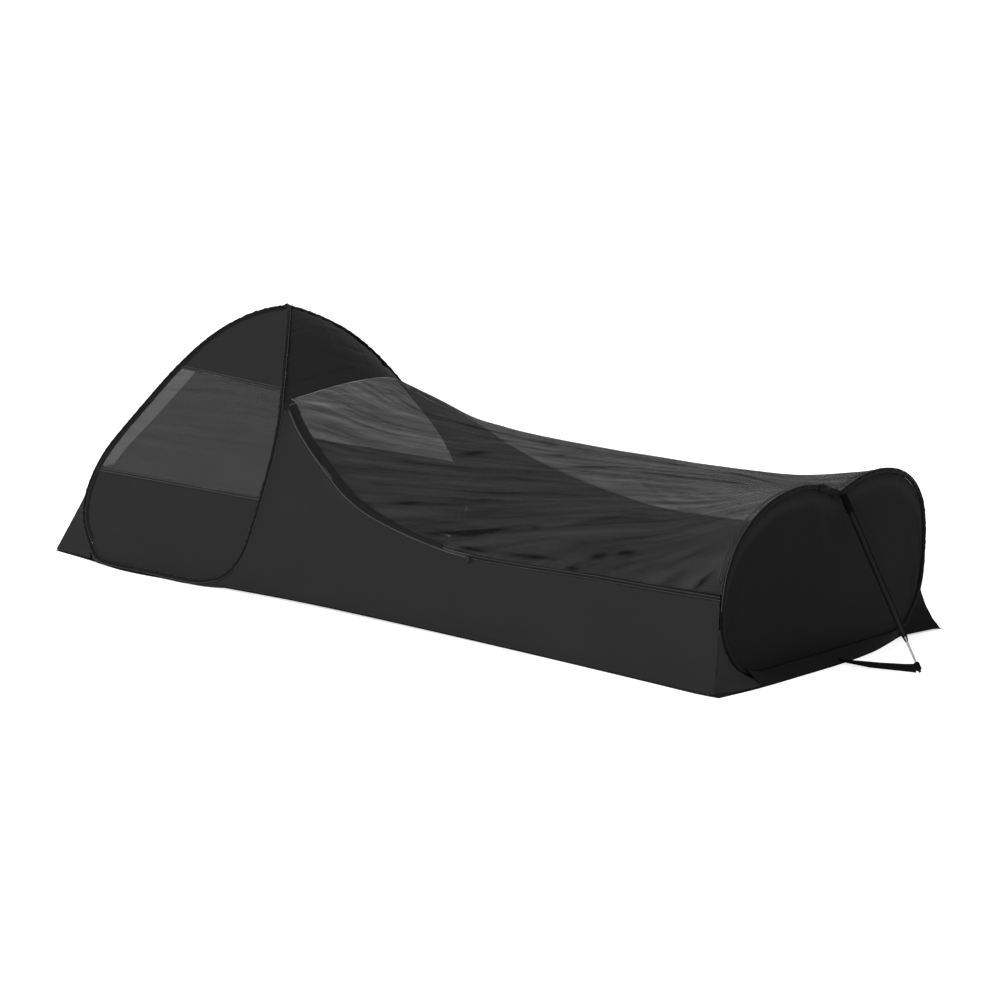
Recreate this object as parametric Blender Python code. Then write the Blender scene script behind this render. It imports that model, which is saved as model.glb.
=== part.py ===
"""One-person pop-up bivy tent, modelled in Blender at its real size.

X runs along the sleeper, head at -X and foot at +X; the near side is -Y and Z is up.
The tent is the same on both sides of the plane y = 0, but for its zip and the groundsheet's
foot edge. Two sprung hoops stand at the head, one ring at the foot, and every fabric panel
is stretched between them.
"""

import bmesh
import bpy
import numpy as np

# Thicknesses and clearances, in metres
FABRIC = 0.0020            # every sewn panel, thicker than the real cloth
FLOOR_TOP = 0.0020         # groundsheet thickness
GAP = 0.0004               # air between pieces that touch
CLEAR = 0.0011             # air beside a round tube, which a straight edge may cut across
BASE_Z = FLOOR_TOP + 0.0009  # lowest edge of the walls, just on the groundsheet

# Overall plan
HEAD_X = -1.100            # head end on the ground
FOOT_X = 1.100             # foot corners on the ground
HEAD_HALF = 0.404          # half the width at the head end
CORNER_HALF = 0.418        # half the width at the foot end
# Half the width of the groundsheet along X: the hoops push it out, the walls draw it in
GROUND_EDGE = [(-1.100, 0.404), (-1.00, 0.415), (-0.90, 0.428), (-0.80, 0.445), (-0.70, 0.445),
               (-0.60, 0.433), (-0.50, 0.415), (-0.40, 0.404), (-0.20, 0.390), (0.00, 0.387),
               (0.30, 0.392), (0.60, 0.401), (0.90, 0.414), (1.04, 0.421), (1.10, 0.418)]
# Foot edge of the groundsheet as (y, x): it lies straight on the near side and is drawn in
# beside the corner on the far side
FOOT_EDGE = [(-0.418, 1.105), (-0.300, 1.116), (-0.150, 1.118), (0.000, 1.117), (0.120, 1.106),
             (0.210, 1.086), (0.300, 1.062), (0.360, 1.059), (0.395, 1.070), (0.418, 1.090)]

# Head hoops: sprung steel in a fabric sleeve
HOOP_RADIUS = 0.006
HOOP_TOP = 0.637           # height of their centre line at the apex
# Half the distance between the two hoops' centre lines, as (height, half)
HOOP_SPREAD = [(0.000, 0.450), (0.010, 0.438), (0.030, 0.414), (0.060, 0.398), (0.110, 0.385),
               (0.180, 0.360), (0.251, 0.328), (0.320, 0.288), (0.398, 0.236), (0.470, 0.190),
               (0.530, 0.147), (0.577, 0.103), (0.607, 0.063), (0.626, 0.031), (0.6345, 0.013),
               (0.640, 0.0064), (0.670, 0.0064)]
# Centre line seen from the side, as (x, z), from the apex down the foot side and round
HOOP_OUTLINE = [(-0.636, HOOP_TOP), (-0.605, 0.626), (-0.562, 0.600), (-0.520, 0.563), (-0.479, 0.507),
                (-0.444, 0.444), (-0.411, 0.374), (-0.386, 0.300), (-0.377, 0.220), (-0.380, 0.147),
                (-0.391, 0.094), (-0.434, 0.034), (-0.485, 0.0140), (-0.560, 0.0092), (-0.700, 0.0092),
                (-0.850, 0.0092), (-0.925, 0.0220), (-0.979, 0.060), (-1.006, 0.115), (-1.009, 0.180),
                (-0.990, 0.257), (-0.950, 0.333), (-0.896, 0.427), (-0.842, 0.505), (-0.789, 0.567),
                (-0.733, 0.611), (-0.680, 0.632)]

# Heights of the seams in the head panels
WINDOW_BOTTOM = 0.220
WINDOW_TOP = 0.465
UNDER_TUBE = 0.014         # below this height a panel runs straight down to the groundsheet
GUSSET_TOP = 0.200         # where the head wall leaves the hoops for the ground corners
PANEL_TOP_HALF = 0.012     # half the gap between the hoops where the end panels stop
HEAD_WALL_SAG = 0.015      # how far the middle of the head wall is drawn in
HEM_HEIGHT = 0.436         # height of the roof hem where it meets the hoops
HEM_WIDTH = 0.030
ROOF_FORWARD = 0.095       # how far the middle of the hem stands out towards the foot
ROOF_RISE = 0.046          # and how far it stands above its ends

# Zip line: top edge of the solid side walls, as (x, half width, height)
ZIP_LINE = [(-0.401, 0.222, 0.416), (-0.334, 0.256, 0.380), (-0.262, 0.284, 0.342), (-0.180, 0.307, 0.297),
            (-0.100, 0.328, 0.259), (0.007, 0.346, 0.225), (0.160, 0.355, 0.195), (0.300, 0.358, 0.178),
            (0.450, 0.360, 0.177), (0.700, 0.363, 0.184), (0.900, 0.365, 0.187), (1.062, 0.368, 0.191)]
ZIP_WIDTH = 0.009
ZIP_THICKNESS = 0.0024
FLAP_WIDTH = 0.085         # share of the canopy's half width that the zip flap covers
# Height of the canopy's middle from the roof hem to the foot ring, as (x, z)
RIDGE_LINE = [(-0.345, 0.478), (-0.250, 0.442), (-0.169, 0.421), (-0.118, 0.412), (-0.067, 0.407),
              (-0.017, 0.403), (0.033, 0.398), (0.098, 0.394), (0.163, 0.391), (0.290, 0.387),
              (0.414, 0.384), (0.600, 0.381), (0.825, 0.382), (0.935, 0.384), (1.075, 0.388)]
CANOPY_ENDS = 0.20         # share of the canopy's length over which it takes up the ends' shapes
WALL_COLUMNS = 25

# Foot ring, as (half width, height) of its centre line, from the bottom up to the notch
RING_OUTLINE = [(0.000, 0.0092), (0.150, 0.0092), (0.245, 0.0100), (0.292, 0.025), (0.332, 0.064),
                (0.357, 0.110), (0.364, 0.155), (0.363, 0.205), (0.355, 0.255), (0.332, 0.311),
                (0.287, 0.359), (0.225, 0.391), (0.150, 0.404), (0.085, 0.399), (0.035, 0.384),
                (0.000, 0.372)]
RING_RADIUS = 0.006
RING_X = 1.067             # where the ring stands at its waist
RING_WAIST = 0.090         # height of the waist
RING_BOW = 0.031           # the ring's top stands this much further out
FOOT_BULGE = 0.012
FOOT_GUSSET_TOP = 0.130    # where the side walls leave the ring for the ground corners
CORNER_TOP_HALF = 0.366    # half the width between the walls at that height
CORNER_CURVE = 2.1         # how strongly the wall's end curves out to the ground corner
TIE_RADIUS = 0.0098        # gathered sleeve beside the notch
TIE_REACH = 0.080

# Strut at the foot: a tube in a sleeve, in a pocket at the top and a strap at the bottom
POLE_RADIUS = 0.0026
SLEEVE_RADIUS = 0.0065
POCKET_RADIUS = 0.0095
STRUT_TOP = (1.1065, 0.373)
STRUT_END = (1.3170, 0.0140)
POCKET_LENGTH = 0.042
SLEEVE_END = 0.335         # distance down the strut at which the sleeve stops
STRAP_WIDTH = 0.019
STRAP_FLAT = 1.188         # where the strap lifts off the groundsheet's edge
STRAP_THICKNESS = 0.0018

FABRIC_BLACK = (0.027, 0.027, 0.028)
FABRIC_FOOT = (0.012, 0.012, 0.013)
FABRIC_ROOF = (0.021, 0.021, 0.022)
MESH_BLACK = (0.045, 0.045, 0.047)
TRIM_BLACK = (0.008, 0.008, 0.009)
METAL_GREY = (0.62, 0.63, 0.64)


def clear_scene():
    for item in list(bpy.data.objects):
        bpy.data.objects.remove(item, do_unlink=True)


def material(name, colour, roughness, metallic=0.0):
    made = bpy.data.materials.new(name)
    made.use_nodes = True
    shader = made.node_tree.nodes["Principled BSDF"]
    shader.inputs["Base Color"].default_value = (*colour, 1.0)
    shader.inputs["Roughness"].default_value = roughness
    shader.inputs["Metallic"].default_value = metallic
    return made


def finish(name, mesh, look, smooth=True):
    made = bpy.data.objects.new(name, mesh)
    bpy.context.scene.collection.objects.link(made)
    mesh.materials.append(look)
    mesh.polygons.foreach_set("use_smooth", [smooth] * len(mesh.polygons))
    return made


def sheet(name, grid, look, thickness=FABRIC):
    """A panel: a grid of points, shape (rows, columns, 3), given its thickness by Solidify."""
    rows, columns = grid.shape[:2]
    at = np.arange(rows * columns).reshape(rows, columns)
    faces = np.stack([at[:-1, :-1], at[:-1, 1:], at[1:, 1:], at[1:, :-1]], axis=-1)
    mesh = bpy.data.meshes.new(name)
    mesh.from_pydata(grid.reshape(-1, 3).tolist(), [], faces.reshape(-1, 4).tolist())
    made = finish(name, mesh, look)
    solid = made.modifiers.new("cloth", "SOLIDIFY")
    solid.thickness = thickness
    solid.offset = 0.0
    return made


def tube(name, points, radius, look):
    """A closed loop of round section, swept along points by a curve's bevel."""
    curve = bpy.data.curves.new(name, "CURVE")
    curve.dimensions = "3D"
    curve.bevel_depth = radius
    curve.bevel_resolution = 2
    line = curve.splines.new("POLY")
    line.points.add(len(points) - 1)
    line.points.foreach_set("co", np.column_stack([points, np.ones(len(points))]).ravel())
    line.use_cyclic_u = True
    line.use_smooth = True
    made = bpy.data.objects.new(name, curve)
    bpy.context.scene.collection.objects.link(made)
    curve.materials.append(look)
    return made


def pipe(name, path, outer, inner, look, sides=12, closed_start=False):
    """A hollow sleeve along path; with closed_start its first end is shut like a cap."""
    path = np.asarray(path, float)
    along = np.gradient(path, axis=0)
    along /= np.linalg.norm(along, axis=1)[:, None]
    across = np.cross(along, [0.0, 0.0, 1.0])
    across /= np.linalg.norm(across, axis=1)[:, None]
    other = np.cross(along, across)
    turn = np.linspace(0.0, 2.0 * np.pi, sides, endpoint=False)
    rims = np.cos(turn)[None, :, None] * across[:, None] + np.sin(turn)[None, :, None] * other[:, None]
    made = bmesh.new()

    def ring(row, radius):
        return [made.verts.new(path[row] + radius * rims[row, k]) for k in range(sides)]

    inside_start = 1 if closed_start else 0
    outside = [ring(row, outer) for row in range(len(path))]
    inside = [ring(row, inner) for row in range(inside_start, len(path))] if inner else []

    def bridge(first, second):
        for k in range(sides):
            made.faces.new((first[k], first[(k + 1) % sides], second[(k + 1) % sides], second[k]))

    for first, second in zip(outside[:-1], outside[1:]):
        bridge(first, second)
    for first, second in zip(inside[:-1], inside[1:]):
        bridge(second, first)
    if inner:
        bridge(outside[-1], inside[-1])
        if closed_start:
            made.faces.new(outside[0])
            made.faces.new(inside[0][::-1])
        else:
            bridge(inside[0], outside[0])
    else:
        made.faces.new(outside[0])
        made.faces.new(outside[-1][::-1])
    bmesh.ops.recalc_face_normals(made, faces=made.faces)
    mesh = bpy.data.meshes.new(name)
    made.to_mesh(mesh)
    made.free()
    return finish(name, mesh, look)


def prism(name, outline, axis, low, high, look):
    """Extrude a flat outline of (a, b) points along axis 'x', 'y' or 'z' from low to high."""
    place = {"x": lambda a, b, c: (c, a, b), "y": lambda a, b, c: (a, c, b), "z": lambda a, b, c: (a, b, c)}
    made = bmesh.new()
    base = made.faces.new([made.verts.new(place[axis](a, b, low)) for a, b in outline])
    grown = bmesh.ops.extrude_face_region(made, geom=[base])
    step = np.array(place[axis](0.0, 0.0, high - low))
    bmesh.ops.translate(made, vec=step, verts=[v for v in grown["geom"] if isinstance(v, bmesh.types.BMVert)])
    bmesh.ops.recalc_face_normals(made, faces=made.faces)
    mesh = bpy.data.meshes.new(name)
    made.to_mesh(mesh)
    made.free()
    return finish(name, mesh, look, smooth=False)


def spline(points, closed, count):
    """Evenly spaced points on the Catmull-Rom curve through the given points."""
    points = np.asarray(points, float)
    if closed:
        padded = np.vstack([points[-1:], points, points[:2]])
    else:
        padded = np.vstack([2 * points[0] - points[1], points, 2 * points[-1] - points[-2]])
    t = np.linspace(0.0, 1.0, 24, endpoint=False)[:, None]
    pieces = []
    for a, b, c, d in zip(padded[:-3], padded[1:-2], padded[2:-1], padded[3:]):
        pieces.append(0.5 * (2 * b + (c - a) * t + (2 * a - 5 * b + 4 * c - d) * t**2
                             + (3 * b - a - 3 * c + d) * t**3))
    dense = np.vstack(pieces + [padded[-2:-1]])
    length = np.concatenate([[0.0], np.cumsum(np.linalg.norm(np.diff(dense, axis=0), axis=1))])
    where = np.linspace(0.0, length[-1], count, endpoint=not closed)
    return np.column_stack([np.interp(where, length, dense[:, k]) for k in range(dense.shape[1])])


def mirrored(grid):
    return grid * np.array([1.0, -1.0, 1.0])


def both_sides(make):
    """Build a piece on the near side and its mirror image on the far side."""
    for side in ("near", "far"):
        make(side, (lambda grid: grid) if side == "near" else mirrored)


def hoop_half(z):
    """Half the distance between the two head hoops at height z."""
    flat = spline(HOOP_SPREAD, False, 400)
    return np.maximum(np.interp(z, flat[:, 0], flat[:, 1]), HOOP_RADIUS + GAP)


def hoop_line(count):
    """Centre line of the near head hoop."""
    flat = spline(HOOP_OUTLINE, True, count)
    flat[:, 1] = np.maximum(flat[:, 1], FLOOR_TOP + GAP + HOOP_RADIUS)
    return np.column_stack([flat[:, 0], -hoop_half(flat[:, 1]), flat[:, 1]])


def loop_tangents(loop):
    along = np.roll(loop, -1, axis=0) - np.roll(loop, 1, axis=0)
    return along / np.linalg.norm(along, axis=1)[:, None]


def hoop_offset(distance):
    """The near hoop moved sideways in the side panel's own surface; positive is outwards."""
    loop = hoop_line(720)
    along = loop_tangents(loop)
    step = 0.001
    slope = (hoop_half(loop[:, 2] + step) - hoop_half(loop[:, 2] - step)) / (2 * step)
    normal = np.column_stack([np.zeros(len(loop)), -np.ones(len(loop)), -slope])
    normal /= np.linalg.norm(normal, axis=1)[:, None]
    outward = np.cross(along, normal)
    centre = loop.mean(axis=0)
    if np.mean(np.einsum("ij,ij->i", outward, loop - centre)) < 0:
        outward = -outward
    return loop + distance * outward


def side_of(loop, foot_side):
    """The foot-side or head-side half of a loop, ordered from its lowest point up."""
    top = int(np.argmax(loop[:, 2]))
    turned = np.roll(loop, -top, axis=0)
    low = int(np.argmin(turned[:, 2]))
    half = turned[:low + 1][::-1] if foot_side else turned[low:]
    keep = np.concatenate([[True], np.diff(np.maximum.accumulate(half[:, 2])) > 1e-7])
    return half[keep]


def at_height(half, z):
    """Points of an ordered half loop at the given heights."""
    z = np.clip(z, half[0, 2], half[-1, 2])
    return np.column_stack([np.interp(z, half[:, 2], half[:, 0]), np.interp(z, half[:, 2], half[:, 1]), z])


def beside(half, z):
    """Like at_height, but a panel's lowest stretch stays out from under the tube."""
    points = at_height(half, np.maximum(z, UNDER_TUBE))
    points[:, 2] = z
    return points


def edge_towards_middle(foot_side):
    """Seam line on the hoop's inner flank, where a panel leaves for the far hoop."""
    loop = hoop_line(720)
    along = loop_tangents(loop)
    across = np.array([0.0, 1.0, 0.0]) - along[:, 1:2] * along
    across /= np.linalg.norm(across, axis=1)[:, None]
    return side_of(loop + (HOOP_RADIUS + CLEAR) * across, foot_side)


def between(low_edge, high_edge, count):
    """A grid of straight rows from each point of one edge to the matching point of another."""
    share = np.linspace(0.0, 1.0, count)[None, :, None]
    return low_edge[:, None] * (1 - share) + high_edge[:, None] * share


def coons(bottom, top, left, right):
    """The surface that fills four boundary curves; bottom and top run the same way."""
    u = np.linspace(0.0, 1.0, len(bottom))[None, :, None]
    v = np.linspace(0.0, 1.0, len(left))[:, None, None]
    ruled = (1 - v) * bottom[None] + v * top[None] + (1 - u) * left[:, None] + u * right[:, None]
    corners = ((1 - u) * (1 - v) * bottom[0] + u * (1 - v) * bottom[-1]
               + (1 - u) * v * top[0] + u * v * top[-1])
    return ruled - corners


def ground_half(x):
    flat = spline(GROUND_EDGE, False, 200)
    return np.interp(x, flat[:, 0], flat[:, 1])


def ring_x(z):
    return RING_X + RING_BOW * ((z - RING_WAIST) / 0.31) ** 2


def ring_line(count):
    """Centre line of the foot ring, starting at its lowest point."""
    half = np.array(RING_OUTLINE)
    other = half[-2:0:-1] * np.array([-1.0, 1.0])
    flat = spline(np.vstack([half, other]), True, count)
    return np.column_stack([ring_x(flat[:, 1]), flat[:, 0], flat[:, 1]])


def near_tie(y):
    """1 beside the gathered sleeve at the notch, fading to 0 either side of it."""
    return np.clip((TIE_REACH + 0.045 - np.abs(y)) / 0.03, 0.0, 1.0)


def ring_offset(inward):
    """The foot ring moved in its own surface: inwards, or outwards where the sign says so."""
    loop = ring_line(720)
    along = loop_tangents(loop)
    towards = np.cross(along, [1.0, 0.0, 0.0])
    towards /= np.linalg.norm(towards, axis=1)[:, None]
    if np.mean(towards[:, 2] * (loop[:, 2] - 0.2)) > 0:
        towards = -towards
    beside_tie = near_tie(loop[:, 1]) * (loop[:, 2] > 0.3)
    distance = RING_RADIUS + CLEAR + (TIE_RADIUS - RING_RADIUS) * beside_tie
    return loop + (distance if inward else -distance)[:, None] * towards


def groundsheet():
    xs = np.concatenate([np.linspace(HEAD_X, FOOT_X - 0.01, 40), [FOOT_X]])
    near = [(x, -ground_half(x) - 0.002) for x in xs]
    foot = [(x, y) for y, x in spline(FOOT_EDGE, False, 41)[1:-1]]
    outline = near + foot + [(x, -y) for x, y in near[::-1]]
    return prism("groundsheet", outline, "z", 0.0, FLOOR_TOP, material("groundsheet", FABRIC_FOOT, 0.75))


def head_hoop(side, place):
    return tube("head_hoop_" + side, place(hoop_line(88)), HOOP_RADIUS,
                material("hoop_sleeve_" + side, TRIM_BLACK, 0.7))


def head_side(side, place):
    """Lower panel, mesh window and upper panel inside one hoop."""
    inner = hoop_offset(-(HOOP_RADIUS + CLEAR))
    head = side_of(inner, False)
    foot = side_of(inner, True)
    bottom = inner[:, 2].min() + 0.0012
    top = inner[:, 2].max() - 0.0105
    cuts = [("lower", bottom, WINDOW_BOTTOM - GAP / 2, 9, FABRIC_BLACK),
            ("window", WINDOW_BOTTOM + GAP / 2, WINDOW_TOP - GAP / 2, 7, MESH_BLACK),
            ("upper", WINDOW_TOP + GAP / 2, top, 11, FABRIC_BLACK)]
    for part, low, high, rows, colour in cuts:
        share = np.linspace(0.0, 1.0, rows)
        if part == "lower":
            share = share ** 1.7
        if part == "upper":
            share = 1.0 - (1.0 - share) ** 1.8
        z = low + (high - low) * share
        grid = between(at_height(head, z), at_height(foot, z), 9)
        name = "head_side_" + part + "_" + side
        sheet(name, place(grid), material(name, colour, 0.8))


def head_wall_edge(z):
    """Near edge of the head wall: down the hoop, then out to the ground corner."""
    seam = at_height(edge_towards_middle(False), z)
    joint = at_height(edge_towards_middle(False), np.array([GUSSET_TOP]))[0]
    corner = np.array([HEAD_X, -HEAD_HALF, BASE_Z])
    share = np.clip((GUSSET_TOP - z) / (GUSSET_TOP - BASE_Z), 0.0, 1.0)[:, None]
    straight = joint * (1 - share) + corner * share
    return np.where(share > 0.0, straight, seam)


def head_wall():
    seam = edge_towards_middle(False)
    top = np.interp(PANEL_TOP_HALF, seam[::-1, 1] * -1.0, seam[::-1, 2])
    cuts = [("lower", BASE_Z, WINDOW_BOTTOM - GAP / 2, 8, FABRIC_BLACK),
            ("window", WINDOW_BOTTOM + GAP / 2, WINDOW_TOP - GAP / 2, 7, MESH_BLACK),
            ("upper", WINDOW_TOP + GAP / 2, top, 7, FABRIC_BLACK)]
    for part, low, high, rows, colour in cuts:
        z = np.linspace(low, high, rows)
        sheet("head_wall_" + part, head_wall_grid(z, 13), material("head_wall_" + part, colour, 0.8))
    z = np.linspace(WINDOW_BOTTOM + 0.006, WINDOW_TOP - 0.004, 8)
    flap = head_wall_grid(z, 33)[:, 5:-5]
    flap = flap + np.array([1.25 * FABRIC + GAP, 0.0, 0.0])
    sheet("head_wall_flap", flap, material("head_wall_flap", FABRIC_BLACK, 0.8))


def head_wall_grid(z, columns):
    near = head_wall_edge(z)
    grid = between(near, mirrored(near), columns)
    share = np.linspace(-1.0, 1.0, columns)[None, :]
    depth = HEAD_WALL_SAG * np.clip((z - BASE_Z) / 0.15, 0.0, 1.0) * np.clip((0.64 - z) / 0.2, 0.0, 1.0)
    grid[..., 0] += depth[:, None] * (1 - share ** 2)
    return grid


def head_gusset(side, place):
    """Triangle between the head wall, the hoop's lower curve and the ground corner."""
    outer = side_of(hoop_offset(HOOP_RADIUS + CLEAR), False)
    z = np.linspace(BASE_Z, GUSSET_TOP - 0.018, 12)
    wall = head_wall_edge(z) + np.array([FABRIC / 2 + 2 * GAP, 0.0, 0.0])
    name = "head_gusset_" + side
    sheet(name, place(between(wall, beside(outer, z), 5)), material(name, FABRIC_BLACK, 0.8))


def zip_curve(count):
    """Top edge of the near wall, from the hoop to the foot ring."""
    outer = side_of(hoop_offset(HOOP_RADIUS + CLEAR), True)
    start = at_height(outer, np.array([HEM_HEIGHT - ZIP_WIDTH - 0.004]))[0]
    line = np.array(ZIP_LINE) * np.array([1.0, -1.0, 1.0])
    end = line[-1].copy()
    end[0] = ring_x(end[2]) - RING_RADIUS - CLEAR
    return spline(np.vstack([start, line[:-1], end]), False, count)


def foot_corner_line(z):
    """Near wall's foot end: down beside the ring, then in a hollow curve out to the ground corner."""
    top = zip_curve(5)[-1]
    fall = np.clip((top[2] - z) / (top[2] - FOOT_GUSSET_TOP), 0.0, 1.0)
    out = np.clip((FOOT_GUSSET_TOP - z) / (FOOT_GUSSET_TOP - BASE_Z), 0.0, 1.0) ** CORNER_CURVE
    x = ring_x(np.maximum(z, FOOT_GUSSET_TOP)) - RING_RADIUS - CLEAR
    x = x + (FOOT_X - 0.012 - x) * out
    y = top[1] + (-CORNER_TOP_HALF - top[1]) * fall
    y = y + (-CORNER_HALF + 0.004 + CORNER_TOP_HALF) * out
    return np.column_stack([x, y, z])


def side_wall(side, place):
    outer = side_of(hoop_offset(HOOP_RADIUS + CLEAR), True)
    top = zip_curve(WALL_COLUMNS)
    rise = np.linspace(0.0, 1.0, 17)
    left = beside(outer, BASE_Z + (top[0, 2] - BASE_Z) * rise)
    right = foot_corner_line(BASE_Z + (top[-1, 2] - BASE_Z) * rise)
    x = np.linspace(left[0, 0], right[0, 0], WALL_COLUMNS)
    bottom = np.column_stack([x, -ground_half(x), np.full(WALL_COLUMNS, BASE_Z)])
    bottom += np.linspace(left[0] - bottom[0], right[0] - bottom[-1], WALL_COLUMNS)
    grid = coons(bottom, top, left, right)
    name = "side_wall_" + side
    sheet(name, place(grid), material(name, FABRIC_BLACK, 0.8))


def roof_grid(z, columns):
    """Rows of the roof from hoop to hoop at heights z, arched towards the foot and up."""
    seam = edge_towards_middle(True)
    near = at_height(seam, z)
    grid = between(near, mirrored(near), columns)
    share = np.linspace(-1.0, 1.0, columns)[None, :]
    grow = np.clip((HOOP_TOP - z) / (HOOP_TOP - HEM_HEIGHT), 0.0, 1.0)[:, None]
    grid[..., 0] += ROOF_FORWARD * grow * (1 - share ** 2)
    grid[..., 2] += ROOF_RISE * grow * (1 - share ** 2)
    return grid


def roof():
    seam = edge_towards_middle(True)
    top = np.interp(PANEL_TOP_HALF, seam[::-1, 1] * -1.0, seam[::-1, 2])
    split = HEM_HEIGHT + HEM_WIDTH
    sheet("roof_panel", roof_grid(np.linspace(top, split, 10), 15), material("roof_panel", FABRIC_ROOF, 0.8))
    sheet("roof_hem", roof_grid(np.linspace(split - GAP, HEM_HEIGHT, 3), 15),
          material("roof_hem", TRIM_BLACK, 0.8))


def canopy_grid(rows, columns):
    """The see-through canopy, rows from side to side, columns from the roof hem to the ring."""
    hem = roof_grid(np.array([HEM_HEIGHT - GAP]), rows)[0]
    hem = hem + np.array([0.0006, 0.0, -0.0002])
    inner = ring_line(720)
    lift = 2 * GAP + ZIP_WIDTH + 0.0018
    near = zip_curve(columns) + np.array([0.0, 0.0, lift])
    upper = inner[inner[:, 2] >= near[-1, 2]]
    upper = upper[np.argsort(np.arctan2(upper[:, 2] - 0.1, -upper[:, 1]))]
    length = np.concatenate([[0.0], np.cumsum(np.linalg.norm(np.diff(upper, axis=0), axis=1))])
    where = np.linspace(0.0, length[-1], rows)
    foot = np.column_stack([np.interp(where, length, upper[:, k]) for k in range(3)])
    foot[:, 0] -= RING_RADIUS + CLEAR + (TIE_RADIUS - RING_RADIUS) * near_tie(foot[:, 1])
    u = np.linspace(0.0, 1.0, columns)[:, None]
    near = near + (hem[0] - near[0]) * (1 - u) ** 8 + (foot[0] - near[-1]) * u ** 8
    grid = coons(near, mirrored(near), hem, foot)
    share = np.linspace(-1.0, 1.0, rows)[:, None]
    ridge = spline(RIDGE_LINE, False, 300)
    middle = np.interp(grid[rows // 2, :, 0], ridge[:, 0], ridge[:, 1])
    arch = grid[0, :, 2] + (middle - grid[0, :, 2]) * (1 - share ** 2)
    blend = np.clip(np.minimum(u[:, 0], 1 - u[:, 0]) / CANOPY_ENDS, 0.0, 1.0)
    grid[..., 2] += (3 * blend ** 2 - 2 * blend ** 3) * (arch - grid[..., 2])
    return grid


def canopy():
    sheet("mesh_canopy", canopy_grid(17, 27), material("mesh_canopy", MESH_BLACK, 0.8))


def zip_band(name, place, look):
    """The zip's tape along the wall top, standing on the wall and carrying the canopy."""
    low = zip_curve(46)
    steep = np.abs(np.gradient(low[:, 2]) / np.gradient(low[:, 0]))
    low[:, 2] += GAP + 0.0003 + 0.0015 * steep
    grid = np.stack([low, low + np.array([0.0, 0.0, ZIP_WIDTH])])[:, :-1]
    sheet(name, place(grid), look, ZIP_THICKNESS)


def zip_flap():
    """Cloth flap over the canopy's near edge, widest at the head and tapering to the foot."""
    fine = canopy_grid(97, 61)
    columns = np.arange(2, 30)
    taper = np.clip(1.0 - (columns - 2) / 30.0, 0.15, 1.0) ** 0.6
    rows = np.linspace(0.0, 1.0, 4)
    reach = FLAP_WIDTH * 48 * taper
    picked = np.zeros((4, len(columns), 3))
    for k, column in enumerate(columns):
        where = 0.6 + rows * reach[k]
        for axis in range(3):
            picked[:, k, axis] = np.interp(where, np.arange(97), fine[:, column, axis])
    along = np.gradient(picked, axis=1)
    across = np.gradient(picked, axis=0)
    normal = np.cross(along, across)
    normal /= np.linalg.norm(normal, axis=2)[..., None]
    normal *= np.sign(normal[..., 2:3])
    sheet("zip_flap", picked + normal * (FABRIC + 0.0007), material("zip_flap", TRIM_BLACK, 0.8))


def zip_slider():
    at = zip_curve(61)
    k = int(np.argmin(np.abs(at[:, 0] - 0.345)))
    x, y, z = at[k] + np.array([0.0, 0.0, GAP])
    face = y - ZIP_THICKNESS / 2 - GAP - 0.0022
    outline = [(x - 0.006, z + 0.001), (x - 0.002, z - 0.010), (x + 0.002, z - 0.010), (x + 0.006, z + 0.001),
               (x + 0.005, z + 0.007), (x - 0.005, z + 0.007)]
    prism("zip_slider", outline, "y", face - 0.003, face, material("zip_slider", TRIM_BLACK, 0.4))


def foot_end():
    tube("foot_ring", ring_line(96), RING_RADIUS, material("foot_ring_sleeve", TRIM_BLACK, 0.7))
    inner = ring_offset(True)
    low = inner[inner[:, 2] < 0.2]
    low = low[np.argsort(low[:, 1])]
    high = inner[inner[:, 2] >= 0.2]
    high = high[np.argsort(high[:, 1])]
    reach = np.abs(inner[:, 1]).max() - 0.0015
    y = reach * np.sin(np.linspace(-np.pi / 2, np.pi / 2, 31))
    base = np.interp(y, low[:, 1], low[:, 2])
    crown = np.interp(y, high[:, 1], high[:, 2]) - 0.002 * near_tie(y)
    share = np.linspace(0.0, 1.0, 9)[:, None]
    z = base + (crown - base) * share
    bulge = FOOT_BULGE * (1 - (2 * share - 1) ** 2) * (1 - (y / reach) ** 2)
    grid = np.stack([ring_x(z) + bulge, np.broadcast_to(y, z.shape), z], axis=-1)
    sheet("foot_wall", grid, material("foot_wall", FABRIC_FOOT, 0.8))


def foot_gusset(side, place):
    """Triangle between the side wall's end, the ring's lower curve and the foot corner."""
    outer = ring_offset(False)
    outer = outer[(outer[:, 1] < -0.05) & (outer[:, 2] < 0.19)]
    outer = outer[np.argsort(outer[:, 2])]
    z = np.linspace(BASE_Z + 0.0004, FOOT_GUSSET_TOP - 0.012, 11)
    wall = foot_corner_line(z) + np.array([0.0014, 0.0, 0.0])
    wall[:, 0] += 0.006 * (1 - z / FOOT_GUSSET_TOP)
    ring = beside(outer, z)
    name = "foot_gusset_" + side
    sheet(name, place(between(wall, ring, 6)), material(name, FABRIC_FOOT, 0.8))


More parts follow.
